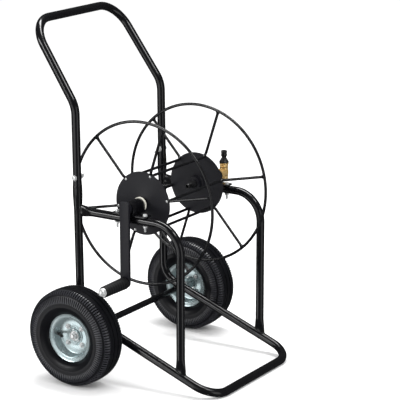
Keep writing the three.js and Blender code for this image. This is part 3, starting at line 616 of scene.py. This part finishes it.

# %% [markdown]
# ## Handle bolts and wing nuts
#
# A bolt with a low round head goes through each handle leg, and a cast wing nut holds it from
# the inside. A wing is a flat outline, given thickness and rounded by a bevel.

# %% Handle bolts and wing nuts
SEAT = TUBE + GAP
WING_THICK, WING_LEAN = 0.0026, -0.7


def handle_bolt(side):
    outward = Vector((side, 0, 0))
    centre = Vector((side * HALF_WIDTH, BOLT.y, BOLT.z))
    head = turned([(0, 0), (0, 0.0076), (0.0012, 0.0076), (0.0032, 0.006), (0.0042, 0.0035),
                   (0.0045, 0)], centre + outward * SEAT, outward, 32)
    shank = rod(0.0039, 2 * SEAT, centre, outward)
    return [head, shank, thread(0.004, 0.013, centre - outward * SEAT, -outward)]


def wing(side, end, centre):
    outline = [(0.004, 0.001), (0.011, 0.004), (0.0142, 0.0095), (0.0132, 0.0125),
               (0.0095, 0.010), (0.004, 0.007)]
    shape = slab([(run, end * reach, -WING_THICK / 2) for reach, run in outline], (0, 0, WING_THICK))
    soften(shape, 0.001, 3)
    lean = Matrix.Rotation(WING_LEAN, 4, "X")
    shape.transform(Matrix.Translation(centre) @ lean @ Matrix.Diagonal((-side, 1, 1, 1)))
    return shape


def wing_nut(side):
    centre = Vector((side * (HALF_WIDTH - SEAT), BOLT.y, BOLT.z))
    inward = Vector((-side, 0, 0))
    boss = turned([(0, 0.0042), (0, 0.0074), (0.0035, 0.0072), (0.008, 0.0062), (0.008, 0.0042),
                   (0, 0.0042)], centre, inward, 32, 0.0005)
    return [boss, wing(side, -1, centre), wing(side, 1, centre)]


for name, side in SIDES.items():
    piece(f"cap_bolt_{name}", "frame", ZINC_BOLT, handle_bolt(side), [f"handle_bolt_{name}"])
    piece(f"wing_{name}", "frame", ZINC_BOLT, wing_nut(side), [f"wing_nut_{name}"])

# %% [markdown]
# ## Axle
#
# The axle tube lies under both rails, with a weld bead where they cross. A long rod passes
# through it, and shows its threaded end outside each wheel's nut.

# %% Axle
HUB_INWARD, HUB_OUTWARD = 0.033, 0.004
HUB_OUT = WHEEL_X + HUB_OUTWARD
AXLE = Vector((0, 0, AXLE_Z))
AXLE_TUBE_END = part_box("axle_tube")[1].x - ORIGIN.x
ROD = 0.0062
WASHER = 0.002
NUT, THREAD_SHOWN = 0.007, 0.0035


def rail_bead(side):
    touch = Vector((side * HALF_WIDTH, -AXLE_TUBE * math.sin(RAIL_ANGLE),
                    AXLE_Z + AXLE_TUBE * math.cos(RAIL_ANGLE)))
    along = Vector((0, math.cos(RAIL_ANGLE), math.sin(RAIL_ANGLE)))

    def spot(angle):
        return touch + Vector((0.0075 * math.cos(angle), 0, 0)) + along * (0.0062 * math.sin(angle))
    return bead(loop_of(spot, 28), 0.0017)


def rod_end(side):
    start = Vector((side * (HUB_OUT + WASHER), 0, AXLE_Z))
    return thread(ROD, NUT + THREAD_SHOWN, start, (side, 0, 0), 0.0014)


def axle_nut(side):
    seat = side * (HUB_OUT + WASHER + 0.0006)
    return [hexagon(0.0108, NUT * 0.78, (seat + side * NUT * 0.39, 0, AXLE_Z), (side, 0, 0)),
            ring(ROD, 0.0088, NUT * 0.24, (seat + side * NUT * 0.88, 0, AXLE_Z), soft=0.0008)]


piece("axle_sleeve", "frame", GLOSS_PAINT,
      [ring(0.0066, AXLE_TUBE, 2 * AXLE_TUBE_END, AXLE, soft=0.0006)], ["axle_tube"])
piece("axle_welds", "frame", WELD_PAINT, [rail_bead(-1), rail_bead(1)])
piece("axle_shaft", "frame", ZINC_BOLT,
      [rod(ROD, 2 * (HUB_OUT + WASHER), AXLE), rod_end(-1), rod_end(1)], ["axle_rod"])
for name, side in SIDES.items():
    for place in ("inner", "outer"):
        node = f"{place}_washer_{name}"
        low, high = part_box(node)
        piece(f"{node}_plate", "frame", ZINC_BOLT,
              [ring(ROD + GAP, (high.z - low.z) / 2, WASHER, from_origin(node))], [node])
    piece(f"axle_nut_{name}_hex", "frame", ZINC_BOLT, axle_nut(side), [f"axle_nut_{name}"])

# %% [markdown]
# ## Tyres
#
# The tyre's section has a bead inside the rim's lip, a bulging smooth side wall, a shoulder and a
# crown with four grooves. Around the shoulder run short moulded ribs, and the tread's edge is
# notched. Every second narrow face around those bands is sunk, which is one inset for each band,
# and the faces between take a paler rubber, which is a painted highlight on what stands proud.

# %% Section of a tyre
RIBS = 110
GROOVES, GROOVE_RADII = (0.0235, 0.0080), (0.1284, 0.1297)
RIB_BAND, EDGE_BAND = (0.0970, 0.1143), (0.1195, 0.1285)
RIB_DEPTH, NOTCH_DEPTH = 0.0032, 0.0030


def groove(x, radius):
    return [(x - 0.0018, radius), (x - 0.0010, radius - 0.0034), (x + 0.0010, radius - 0.0034),
            (x + 0.0018, radius)]


def tyre_half():
    side_wall = [(0.0236, 0.0572), (0.0236, 0.0632), (0.0262, 0.0655), (0.0305, 0.0678),
                 (0.0352, 0.0722), (0.0385, 0.078), (0.0405, 0.0845), (0.0411, 0.085),
                 (0.0414, 0.0862), (0.0411, 0.0875), (0.0418, 0.0915), (0.0422, 0.0945)]
    ribbed = [(0.0424, 0.0965), (0.0424, 0.1030), (0.0418, 0.1090), (0.0403, 0.1145)]
    edge = [(0.0396, 0.1160), (0.0372, 0.1190), (0.0352, 0.1222), (0.0312, 0.1256), (0.0276, 0.1274)]
    crown = [point for x, radius in zip(GROOVES, GROOVE_RADII) for point in reversed(groove(x, radius))]
    return side_wall + ribbed + edge + crown


print("half a section has", len(tyre_half()), "points")


# %% Notched tyres
def cut_notches(shape, band, least_x, depth, start):
    chosen = []
    for face in shape.faces:
        spot = face.calc_center_median()
        radius, turn = math.hypot(spot.y, spot.z), math.atan2(spot.z, spot.y)
        step = math.floor(turn / math.pi * RIBS)
        if band[0] < radius < band[1] and abs(spot.x) > least_x:
            # Faces left standing get the second, paler rubber: a painted highlight on the raised ribs.
            face.material_index = int(step % 2 != start)
            if step % 2 == start:
                chosen.append(face)
    bmesh.ops.inset_region(shape, faces=chosen, thickness=0.0003, depth=-depth,
                           use_even_offset=True, use_boundary=True)


def tyre(centre):
    half = tyre_half()
    inside = [(0.0176, 0.0572), (0.0176, 0.063), (0.034, 0.09), (0.033, 0.110), (0.02, 0.119)]
    mirrored = [(-x, radius) for x, radius in reversed(half)]
    outside = half + [(0, 0.13)] + mirrored
    inner = [(-x, radius) for x, radius in inside] + list(reversed(inside))
    shape = turned(outside + inner + [half[0]], (0, 0, 0), steps=2 * RIBS)
    bmesh.ops.recalc_face_normals(shape, faces=shape.faces)
    cut_notches(shape, RIB_BAND, 0.0385, RIB_DEPTH, 0)
    cut_notches(shape, EDGE_BAND, 0.0200, NOTCH_DEPTH, 1)
    bmesh.ops.translate(shape, verts=shape.verts, vec=centre)
    return shape


for name, side in SIDES.items():
    made = piece(f"air_tyre_{name}", f"wheel_{name}", TYRE_RUBBER,
                 [tyre(Vector((side * WHEEL_X, 0, AXLE_Z)))], [f"tyre_{name}"])
    # The second rubber paints a highlight on the raised ribs.
    made.data.materials.append(RIB_HIGHLIGHT_RUBBER)

# %% [markdown]
# ## Rims and hubs
#
# A rim is two stamped halves bolted back to back. Each half is one sheet: flat in the middle with
# a raised ring, a steep drop, a bead seat and a rolled lip. Its profile runs out along one face of
# the sheet and back along the other.

# %% Rims and hubs
RIM_FACE = [(0.0021, 0.017), (0.0021, 0.0195), (0.0038, 0.0207), (0.0038, 0.0228), (0.0021, 0.0242),
            (0.0021, 0.0455), (0.0036, 0.0484), (0.0075, 0.0499), (0.0200, 0.0512), (0.0240, 0.0522),
            (0.0254, 0.0548), (0.0254, 0.0598), (0.0264, 0.0626), (0.0276, 0.0640)]
RIM_BACK = [(0.0262, 0.0646), (0.0242, 0.0632), (0.0234, 0.0604), (0.0234, 0.0555), (0.0220, 0.0538),
            (0.0165, 0.0528), (0.0070, 0.0518), (0.0022, 0.0498), (0.0002, 0.0460), (0.0002, 0.017)]
BOLT_CIRCLE = 0.031


def rim_half(side, centre):
    profile = [(side * x, radius) for x, radius in RIM_FACE + RIM_BACK + RIM_FACE[:1]]
    return turned(profile, centre, steps=96, soft=0.0005)


def around(centre, radius, angle):
    return centre + Vector((0, radius * math.cos(angle), radius * math.sin(angle)))


def rim_bolts(side, centre):
    shapes, step = [], Vector((side, 0, 0))
    for index in range(4):
        spot = around(centre, BOLT_CIRCLE, math.pi / 4 + index * math.pi / 2)
        shapes.append(ring(0.003, 0.0072, 0.0012, spot + step * 0.0028))
        shapes.append(hexagon(0.0056, 0.004, spot + step * 0.0054, step))
        shapes.append(rod(0.003, 0.02, spot))
        shapes.append(hexagon(0.0058, 0.005, spot - step * 0.0052, step))
    return shapes


def hub_profile():
    return [(-HUB_INWARD, 0.0068), (-HUB_INWARD, 0.0165), (-HUB_INWARD + 0.003, 0.0165),
            (-HUB_INWARD + 0.004, 0.0158), (HUB_OUTWARD - 0.001, 0.0158), (HUB_OUTWARD, 0.0150),
            (HUB_OUTWARD, 0.0068), (-HUB_INWARD, 0.0068)]


for name, side in SIDES.items():
    hub = Vector((side * WHEEL_X, 0, AXLE_Z))
    body = f"wheel_{name}"
    piece(f"rim_face_{name}", body, ZINC_RIM, [rim_half(side, hub)], [f"rim_outer_{name}"])
    piece(f"rim_back_{name}", body, ZINC_RIM, [rim_half(-side, hub)], [f"rim_inner_{name}"])
    piece(f"rim_bolts_{name}", body, ZINC_BOLT, rim_bolts(side, hub))
    piece(f"hub_tube_{name}", body, ZINC_RIM,
          [turned([(side * x, radius) for x, radius in hub_profile()], hub, soft=0.0005)],
          [f"hub_{name}"])

# %% [markdown]
# ## Valves
#
# The inner tube's valve leans out of the recess: a rubber stem that swells at its foot, and a
# ribbed cap.

# %% Valves
VALVE_FOOT, VALVE_TIP = Vector((0.010, 0, 0.047)), Vector((0.022, 0, 0.027))
VALVE_TURN = {"left": -1.6, "right": -0.6}


def valve(name, side):
    turn = Matrix.Rotation(VALVE_TURN[name], 3, "X")
    ends = [turn @ Vector((side * point.x, 0, point.z)) for point in (VALVE_FOOT, VALVE_TIP)]
    length = (ends[1] - ends[0]).length
    cap = length * 0.5
    ribs = [(cap + 0.0008 * step, 0.0042 if step % 2 else 0.0038) for step in range(1, 11)]
    profile = [(0, 0), (0, 0.0048), (0.003, 0.0034), (cap, 0.0031), *ribs, (length, 0.0036), (length, 0)]
    centre = Vector((side * WHEEL_X, 0, AXLE_Z)) + ends[0]
    return turned(profile, centre, ends[1] - ends[0], 28)


for name, side in SIDES.items():
    piece(f"valve_stem_{name}", f"wheel_{name}", BLACK_PLASTIC, [valve(name, side)], [f"valve_{name}"])

# %% [markdown]
# ## Reel wire work
#
# Six bent rods join two wire rims: each goes down a spoke, along the core and up the other spoke.
# A small swell of weld holds each end to its rim.

# %% Wire rims and rods
WIRE, RIM_WIRE = 0.0038, 0.004
CORE, ROD_BEND, ROD_START = 0.078, 0.013, 48
RIM_RADIUS = (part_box("reel_rim_left")[1].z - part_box("reel_rim_left")[0].z) / 2 - RIM_WIRE


def on_reel(x, radius, angle):
    return Vector((x, REEL.x + radius * math.cos(angle), REEL.y + radius * math.sin(angle)))


def wire_rim(x):
    shape = bmesh.new()
    bmesh.ops.create_circle(shape, cap_ends=False, radius=RIM_WIRE, segments=16,
                            matrix=Matrix.Translation(on_reel(x, RIM_RADIUS, 0)))
    bmesh.ops.spin(shape, geom=list(shape.edges), cent=on_reel(x, 0, 0), axis=(1, 0, 0),
                   angle=2 * math.pi, steps=160, use_merge=True)
    return shape


def bent_rod(angle):
    end = RIM_RADIUS - RIM_WIRE * 0.6
    corners = [on_reel(RIM_X["left"], end, angle), on_reel(RIM_X["left"], CORE, angle),
               on_reel(RIM_X["right"], CORE, angle), on_reel(RIM_X["right"], end, angle)]
    return bent_tube(corners, [ROD_BEND, ROD_BEND], WIRE, 16)


def rod_weld(x, angle):
    outward = on_reel(x, 1, angle) - on_reel(x, 0, angle)
    swell = [(0, 0), (0, 0.0039), (0.003, 0.0042), (0.0058, 0.0058), (0.0072, 0.0052), (0.0078, 0)]
    return turned(swell, on_reel(x, RIM_RADIUS - 0.0098, angle), outward, 20)


for name in SIDES:
    piece(f"wire_rim_{name}", "reel", WIRE_PAINT, [wire_rim(RIM_X[name])], [f"reel_rim_{name}"])
ANGLES = [math.radians(ROD_START + 60 * index) for index in range(6)]
for index, angle in enumerate(ANGLES, 1):
    welds = [rod_weld(RIM_X[name], angle) for name in SIDES]
    piece(f"wire_rod_{index}", "reel", WIRE_PAINT, [bent_rod(angle), *welds], [f"reel_rod_{index}"])

# %% [markdown]
# ## Discs, shaft and spacer
#
# A pressed disc closes each end of the core. Its edge is turned over a little, a welded collar
# carries it on a short stub of pipe, and low rivets tie it to the rods. No shaft crosses the core.

# %% Discs, shaft and spacer
DISC, DISC_HALF = 0.0835, 0.00125
SHAFT = 0.01065
COLLAR, COLLAR_DEPTH = 0.019, 0.0173


def disc(side, x):
    profile = [(-COLLAR_DEPTH, SHAFT + GAP), (-COLLAR_DEPTH, COLLAR), (-0.0042, COLLAR),
               (-0.002, COLLAR + 0.0022), (-DISC_HALF, COLLAR + 0.0026), (-DISC_HALF, DISC - 0.0004),
               (-0.0003, DISC), (0.0006, DISC - 0.0002), (DISC_HALF, DISC - 0.0012),
               (DISC_HALF, COLLAR + 0.002), (0.0022, COLLAR - 0.0005), (0.0022, SHAFT + 0.0012),
               (DISC_HALF, SHAFT + GAP), (-COLLAR_DEPTH, SHAFT + GAP)]
    return turned([(side * along, radius) for along, radius in profile], on_reel(x, 0, 0), steps=128)


def rivet(side, x, angle):
    dome = [(0, 0), (0, 0.0034), (0.0008, 0.0032), (0.0016, 0.0021), (0.0019, 0)]
    return turned(dome, on_reel(x + side * DISC_HALF, CORE - 0.001, angle), (side, 0, 0), 20)


for name, side in SIDES.items():
    piece(f"end_disc_{name}", "reel", SATIN_PAINT, [disc(side, DISC_X[name])], [f"reel_disc_{name}"])
    piece(f"disc_rivets_{name}", "reel", ZINC_BOLT, [rivet(side, DISC_X[name], a) for a in ANGLES])

for node, soft in (("crank_shaft", 0.0008), ("inlet_shaft", 0.0005)):
    low, high = (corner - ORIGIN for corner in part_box(node))
    piece(f"{node}_pipe", "reel", SHAFT_STEEL,
          [ring(0.0075, SHAFT, high.x - low.x, from_origin(node), soft=soft)], [node])
spacer_low, spacer_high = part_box("shaft_spacer")
piece("spacer_sleeve", "reel", SATIN_PAINT,
      [ring(SHAFT + GAP, 0.01465, spacer_high.x - spacer_low.x, from_origin("shaft_spacer"),
            soft=0.0006)], ["shaft_spacer"])

# %% [markdown]
# ## Bearings
#
# Each bearing is an arch-shaped housing welded to a foot plate that is bolted down on the loop.
# The arch could be cut from a block, but two outlines and two circles of edges, bridged in
# pairs, give its walls and bore at once. A nylon bush lines it, with a flange towards the reel.

# %% Bearing housings
BORE = 0.0140
ARCH = BORE + 0.0040
HOUSING_IN, HOUSING_OUT = 0.1585, 0.210
PLATE_Z = LOOP_Z + TUBE + GAP
PLATE, PLATE_HALF_LENGTH, PLATE_HALF_WIDTH = 0.003, 0.053, 0.015
ARCH_STEPS, ARCH_KEEL, ARCH_DROP, ARCH_SUNK = 48, 0.006, 1.6, 0.0004


def edge_ring(shape, points):
    verts = [shape.verts.new(point) for point in points]
    return [shape.edges.new(pair) for pair in zip(verts, verts[1:] + verts[:1])]


def arch_outline(x):
    outline = []
    for k in range(ARCH_STEPS):
        spot = on_reel(x, ARCH, 2 * math.pi * k / ARCH_STEPS)
        if spot.z < REEL.y:
            offset = spot.y - REEL.x
            if abs(offset) > ARCH_KEEL:
                spot.y = REEL.x + math.copysign(ARCH, offset)
            spot.z = max(PLATE_Z + PLATE - ARCH_SUNK, REEL.y - (REEL.y - spot.z) * ARCH_DROP)
        outline.append(spot)
    return outline


def housing(side):
    shape = bmesh.new()
    rims = []
    for x in (side * HOUSING_IN, side * HOUSING_OUT):
        bore = [on_reel(x, BORE, 2 * math.pi * k / ARCH_STEPS) for k in range(ARCH_STEPS)]
        rims.append((edge_ring(shape, arch_outline(x)), edge_ring(shape, bore)))
    (out_a, in_a), (out_b, in_b) = rims
    for pair in (out_a + out_b, in_a + in_b, out_a + in_a, out_b + in_b):
        bmesh.ops.bridge_loops(shape, edges=pair)
    return soften(shape, 0.0008, 2, 50)


print("the arch has", ARCH_STEPS, "sides")


# %% Foot plates and bushes
def foot_plate(side):
    shape = bmesh.new()
    bmesh.ops.create_cube(shape, size=1)
    bmesh.ops.scale(shape, verts=shape.verts,
                    vec=(2 * PLATE_HALF_WIDTH, 2 * PLATE_HALF_LENGTH, PLATE))
    upright_edges = [e for e in shape.edges if abs(e.verts[0].co.z - e.verts[1].co.z) > PLATE / 2]
    bmesh.ops.bevel(shape, geom=upright_edges, offset=0.005, affect="EDGES", segments=5,
                    profile=0.5, material=-1)
    soften(shape, 0.0006)
    bmesh.ops.translate(shape, verts=shape.verts,
                        vec=(side * HALF_WIDTH, REEL.x, PLATE_Z + PLATE / 2))
    return shape


def bush(side):
    profile = [(HOUSING_IN - 0.0063, 0.011), (HOUSING_IN - 0.0063, 0.0185), (HOUSING_IN - 0.0053, 0.0195),
               (HOUSING_IN - GAP, 0.0195), (HOUSING_IN - GAP, 0.0137), (HOUSING_OUT, 0.0137),
               (HOUSING_OUT, 0.011), (HOUSING_IN - 0.0063, 0.011)]
    return turned([(side * x, radius) for x, radius in profile], on_reel(0, 0, 0), steps=64, soft=0.0005)


for name, side in SIDES.items():
    piece(f"bearing_{name}", "frame", GLOSS_PAINT, [housing(side), foot_plate(side)],
          [f"bearing_bracket_{name}"])
    piece(f"bush_{name}", "frame", NYLON, [bush(side)], [f"nylon_bush_{name}"])

# %% [markdown]
# ## Bracket bolts
#
# Two hexagon bolts go down through the plate and the loop, with a washer under each head and a
# nut below, and a few turns of thread show under the nut.

# %% Bracket bolts
BRACKET_PITCH = 0.043
UP = Vector((0, 0, 1))


def bracket_bolt(spot):
    top = PLATE_Z + PLATE
    return [ring(0.0033, 0.0066, 0.001, spot + UP * (top + 0.0005), UP),
            hexagon(0.0057, 0.004, spot + UP * (top + 0.003), UP),
            thread(0.003, 0.016, spot + UP * (LOOP_Z - TUBE), -UP)]


def bracket_nut(spot):
    top = LOOP_Z - TUBE - GAP
    return [ring(0.0033, 0.0064, 0.001, spot + UP * (top - 0.0005), UP),
            hexagon(0.0057, 0.0044, spot + UP * (top - 0.0032), UP)]


for name, side in SIDES.items():
    for end, sign in (("front", -1), ("rear", 1)):
        spot = Vector((side * HALF_WIDTH, REEL.x + sign * BRACKET_PITCH, 0))
        node = f"{name}_{end}"
        piece(f"plate_bolt_{node}", "frame", ZINC_BOLT, bracket_bolt(spot), [f"bracket_bolt_{node}"])
        piece(f"plate_nut_{node}", "frame", ZINC_BOLT, bracket_nut(spot), [f"bracket_nut_{node}"])

# %% [markdown]
# ## Crank
#
# The arm is a flat bar with clipped upper corners and a rounded lower end. It is drawn as an
# outline, given its thickness by extrusion and welded to a short sleeve on the shaft. The grip is
# moulded with shallow finger rings and turns on a spindle with a domed cap nut.

# %% Crank arm
ARM_X, ARM_THICK, ARM_HALF = -0.226, 0.008, 0.014
ARM_TOP, ARM_CLIP = 0.021, 0.004
SLEEVE_END, SLEEVE_SUNK = -0.2106, 0.001
GRIP_Z = from_origin("crank_grip").z
ARM_LENGTH = REEL.y - GRIP_Z


def crank_arm():
    bottom = [(ARM_HALF * math.cos(t), -ARM_LENGTH - ARM_HALF * math.sin(t))
              for t in (math.pi * k / 20 for k in range(21))]
    outline = [(-ARM_HALF, ARM_TOP - ARM_CLIP), (ARM_CLIP - ARM_HALF, ARM_TOP),
               (ARM_HALF - ARM_CLIP, ARM_TOP), (ARM_HALF, ARM_TOP - ARM_CLIP), *bottom]
    shape = slab([(ARM_X, REEL.x + y, REEL.y + z) for y, z in outline], (ARM_THICK, 0, 0))
    return soften(shape, 0.0009, 3, 50)


print("the crank is", round(ARM_LENGTH, 4), "m long")


# %% Crank sleeve
def arm_sleeve():
    start = ARM_X + ARM_THICK - SLEEVE_SUNK
    length = SLEEVE_END - start
    profile = [(0, SHAFT + GAP), (0, 0.0172), (0.0025, 0.0152), (length, 0.015),
               (length, SHAFT + GAP), (0, SHAFT + GAP)]
    return turned(profile, on_reel(start, 0, 0), soft=0.0004)


piece("crank_bar", "reel", SATIN_PAINT, [crank_arm(), arm_sleeve()], ["crank_arm"], 40)

# %% Grip, spindle and cap nut
GRIP_LOW, GRIP_HIGH = (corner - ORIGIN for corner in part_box("crank_grip"))
GRIP_SPOT = Vector((GRIP_HIGH.x, REEL.x, GRIP_Z))
GRIP_LENGTH = GRIP_HIGH.x - GRIP_LOW.x
PIN_HEAD_X, PIN_LENGTH = -0.2177, GRIP_LENGTH + 0.018
FINGER_RINGS, RING_HEIGHT = 9, 0.00045


def grip():
    rings = []
    steps = 4 * FINGER_RINGS
    for k in range(steps + 1):
        share = k / steps
        swell = RING_HEIGHT * math.cos(2 * math.pi * FINGER_RINGS * share)
        rings.append((0.004 + (GRIP_LENGTH - 0.007) * share, 0.01575 - 0.0014 * share + swell))
    profile = [(0, 0.0044), (0, 0.0128), (0.0012, 0.0148), *rings, (GRIP_LENGTH - 0.001, 0.0138),
               (GRIP_LENGTH, 0.0122), (GRIP_LENGTH, 0.0044), (0, 0.0044)]
    return turned(profile, GRIP_SPOT, (-1, 0, 0), 56)


def cap_nut():
    start = Vector((GRIP_LOW.x - GAP, REEL.x, GRIP_Z))
    dome = [(0.0038, 0.0078)] + [(0.0038 + 0.0092 * math.sin(t), 0.0098 * math.cos(t))
                                 for t in (math.pi / 2 * k / 10 for k in range(11))]
    dome[-1] = (0.013, 0)
    return [turned([(0, 0.004), (0, 0.0112), (0.0012, 0.0116), (0.0022, 0.0112), (0.0022, 0.004), (0, 0.004)],
                   start, (-1, 0, 0), 40),
            turned([(0.002, 0), (0.002, 0.0102), (0.0038, 0.0104), *dome[1:]], start, (-1, 0, 0), 40)]


def spindle():
    return [rod(0.004, PIN_LENGTH, (PIN_HEAD_X - PIN_LENGTH / 2, REEL.x, GRIP_Z)),
            hexagon(0.0074, 0.0048, (PIN_HEAD_X + 0.0024, REEL.x, GRIP_Z))]


piece("hand_grip", "grip", GRIP_RUBBER, [grip()], ["crank_grip"], 50)
piece("grip_dome", "reel", ZINC_BOLT, cap_nut(), ["grip_cap"])
piece("grip_pin", "reel", ZINC_BOLT, spindle(), ["grip_spindle"])

# %% [markdown]
# ## Water inlet
#
# A brass elbow turns on the shaft's end. Its upright post takes a hexagon collar and a black
# push-on connector with a waist. Inside the core a black ribbed tail waits for the hose.

# %% Elbow and collar
SWIVEL_X = from_origin("quick_connector").x
POST_TOP = 0.0155
COLLAR_TOP = POST_TOP + 0.012


def on_post(height):
    return Vector((SWIVEL_X, REEL.x, REEL.y + height))


def elbow():
    socket_from = HOUSING_OUT + 0.008
    length = SWIVEL_X - socket_from
    socket = [(0, 0.0112), (0, 0.0145), (0.004, 0.0145), (0.005, 0.0136), (length, 0.0136),
              (length, 0), (length - 0.01, 0), (length - 0.01, 0.0112), (0, 0.0112)]
    post = [(-0.021, 0), (-0.021, 0.0095), (-0.019, 0.0115), (-0.006, 0.0115), (-0.005, 0.0124),
            (0.006, 0.0124), (0.007, 0.0115), (POST_TOP, 0.0115), (POST_TOP, 0.005), (0, 0.005), (0, 0)]
    return [turned(socket, (socket_from, REEL.x, REEL.y), soft=0.0005),
            turned(post, on_post(0), UP, soft=0.0005)]


def inlet_collar():
    foot_z = POST_TOP + GAP
    return [hexagon(0.0132, 0.0075, on_post(foot_z + 0.0041), UP, 0.0008),
            turned([(0.0075, 0.005), (0.0075, 0.0122), (0.0085, 0.0128), (0.0105, 0.0128), (0.0117, 0.012),
                    (0.0117, 0.005), (0.0075, 0.005)], on_post(foot_z), UP, 40)]


print("the post stands", POST_TOP, "m above the shaft")


# %% Connector and hose tail
def connector():
    ribs = [(GAP + 0.0006 * k, 0.0132 if k % 2 else 0.0127) for k in range(6)]
    profile = [(GAP, 0.0045), *ribs, (0.0042, 0.0126), (0.013, 0.007), (0.0150, 0.0064),
               (0.017, 0.0063), (0.0185, 0.0078), (0.0195, 0.0083), (0.0245, 0.0083), (0.0251, 0.0076),
               (0.0268, 0.0076), (0.0274, 0.0083), (0.032, 0.0083), (0.034, 0.0074), (0.034, 0.0045),
               (GAP, 0.0045)]
    return turned(profile, on_post(COLLAR_TOP), UP, 48)


def hose_tail():
    barbs = [point for k in range(4) for point in ((0.012 + 0.005 * k, 0.0054), (0.0165 + 0.005 * k, 0.0066))]
    profile = [(0, 0.0045), (0, SHAFT), (0.0075, SHAFT), (0.0085, 0.0095), (0.0115, 0.006), *barbs,
               (0.0338, 0.0054), (0.0338, 0.0045), (0, 0.0045)]
    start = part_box("hose_outlet")[1].x - ORIGIN.x
    return turned(profile, (start, REEL.x, REEL.y), (-1, 0, 0), 40)


piece("inlet_body", "inlet", BRASS, elbow(), ["inlet_elbow"])
piece("inlet_hex", "inlet", BRASS, inlet_collar(), ["inlet_collar"])
piece("push_connector", "inlet", BLACK_PLASTIC, [connector()], ["quick_connector"], 40)
piece("hose_tail", "reel", BLACK_PLASTIC, [hose_tail()], ["hose_outlet"])

# %% [markdown]
# ## Studio
#
# A pale floor runs out of sight and six soft boxes surround the cart. Black gloss paint only
# shows what it mirrors, so broad dim boxes give the tubes their grey bands and small bright ones
# their lines, and the air round them is kept darker for reflections than for the eye.

# %% Floor
FLOOR_SIZE = 40


def make_floor():
    shape = bmesh.new()
    bmesh.ops.create_grid(shape, x_segments=4, y_segments=4, size=FLOOR_SIZE / 2)
    mesh = bpy.data.meshes.new("floor")
    shape.to_mesh(mesh)
    shape.free()
    made = bpy.data.objects.new("floor", mesh)
    bpy.context.scene.collection.objects.link(made)
    return made


floor = make_floor()
floor.data.materials.append(finish("pale floor finish", (0.9, 0.9, 0.9), (0.93, 0.93, 0.93),
                                   (0.85, 0.95), 40, 0.0))
floor.visible_glossy = False  # gloss paint would mirror it as a grey veil
print("floor", FLOOR_SIZE, "m wide")


# %% Lights and surroundings
def soft_box(name, turn, away, low, high, width, brightness):
    light = bpy.data.lights.new(name, "AREA")
    light.shape = "RECTANGLE"
    light.size, light.size_y = width, high - low
    light.energy = brightness * math.pi * light.size * light.size_y
    made = bpy.data.objects.new(name, light)
    angle = AZIMUTH + math.radians(turn)
    made.location = (away * math.sin(angle), -away * math.cos(angle), (low + high) / 2)
    made.rotation_mode = "QUATERNION"
    made.rotation_quaternion = Vector((-math.sin(angle), math.cos(angle), 0)).to_track_quat("-Z", "Y")
    bpy.context.scene.collection.objects.link(made)
    return made


soft_box("left_wall", -48, 3.6, -0.5, 0.8, 3.6, 1.1)
soft_box("left_window", -62, 3.6, 1.35, 2.1, 2.4, 9)
soft_box("right_wall", 45, 3.6, -1.4, 1.8, 1.9, 0.9)
soft_box("right_window", 52, 2.4, 2.9, 4.3, 1.3, 8)
soft_box("wheel_side", -66, 3.4, -1.7, -0.6, 1.6, 2.2)
top = soft_box("overhead", 150, 0.5, 2.2, 4.8, 0.7, 16)
top.rotation_quaternion = (1, 0, 0, 0)

world = bpy.data.worlds.new("studio air")
world.use_nodes = True
bpy.context.scene.world = world
air, air_link = world.node_tree.nodes, world.node_tree.links.new
bounced = air["Background"]
bounced.inputs["Color"].default_value = (1, 1, 1, 1)
bounced.inputs["Strength"].default_value = 1.1
mirrored = air.new("ShaderNodeBackground")
mirrored.inputs["Color"].default_value = (0.94, 0.97, 1, 1)
mirrored.inputs["Strength"].default_value = 0.06
either = air.new("ShaderNodeMixShader")
air_link(air.new("ShaderNodeLightPath").outputs["Is Glossy Ray"], either.inputs["Fac"])
air_link(bounced.outputs["Background"], either.inputs[1])
air_link(mirrored.outputs["Background"], either.inputs[2])
air_link(either.outputs["Shader"], air["World Output"].inputs["Surface"])
bpy.context.scene.view_settings.view_transform = "Standard"
print("lights:", len(bpy.data.lights))
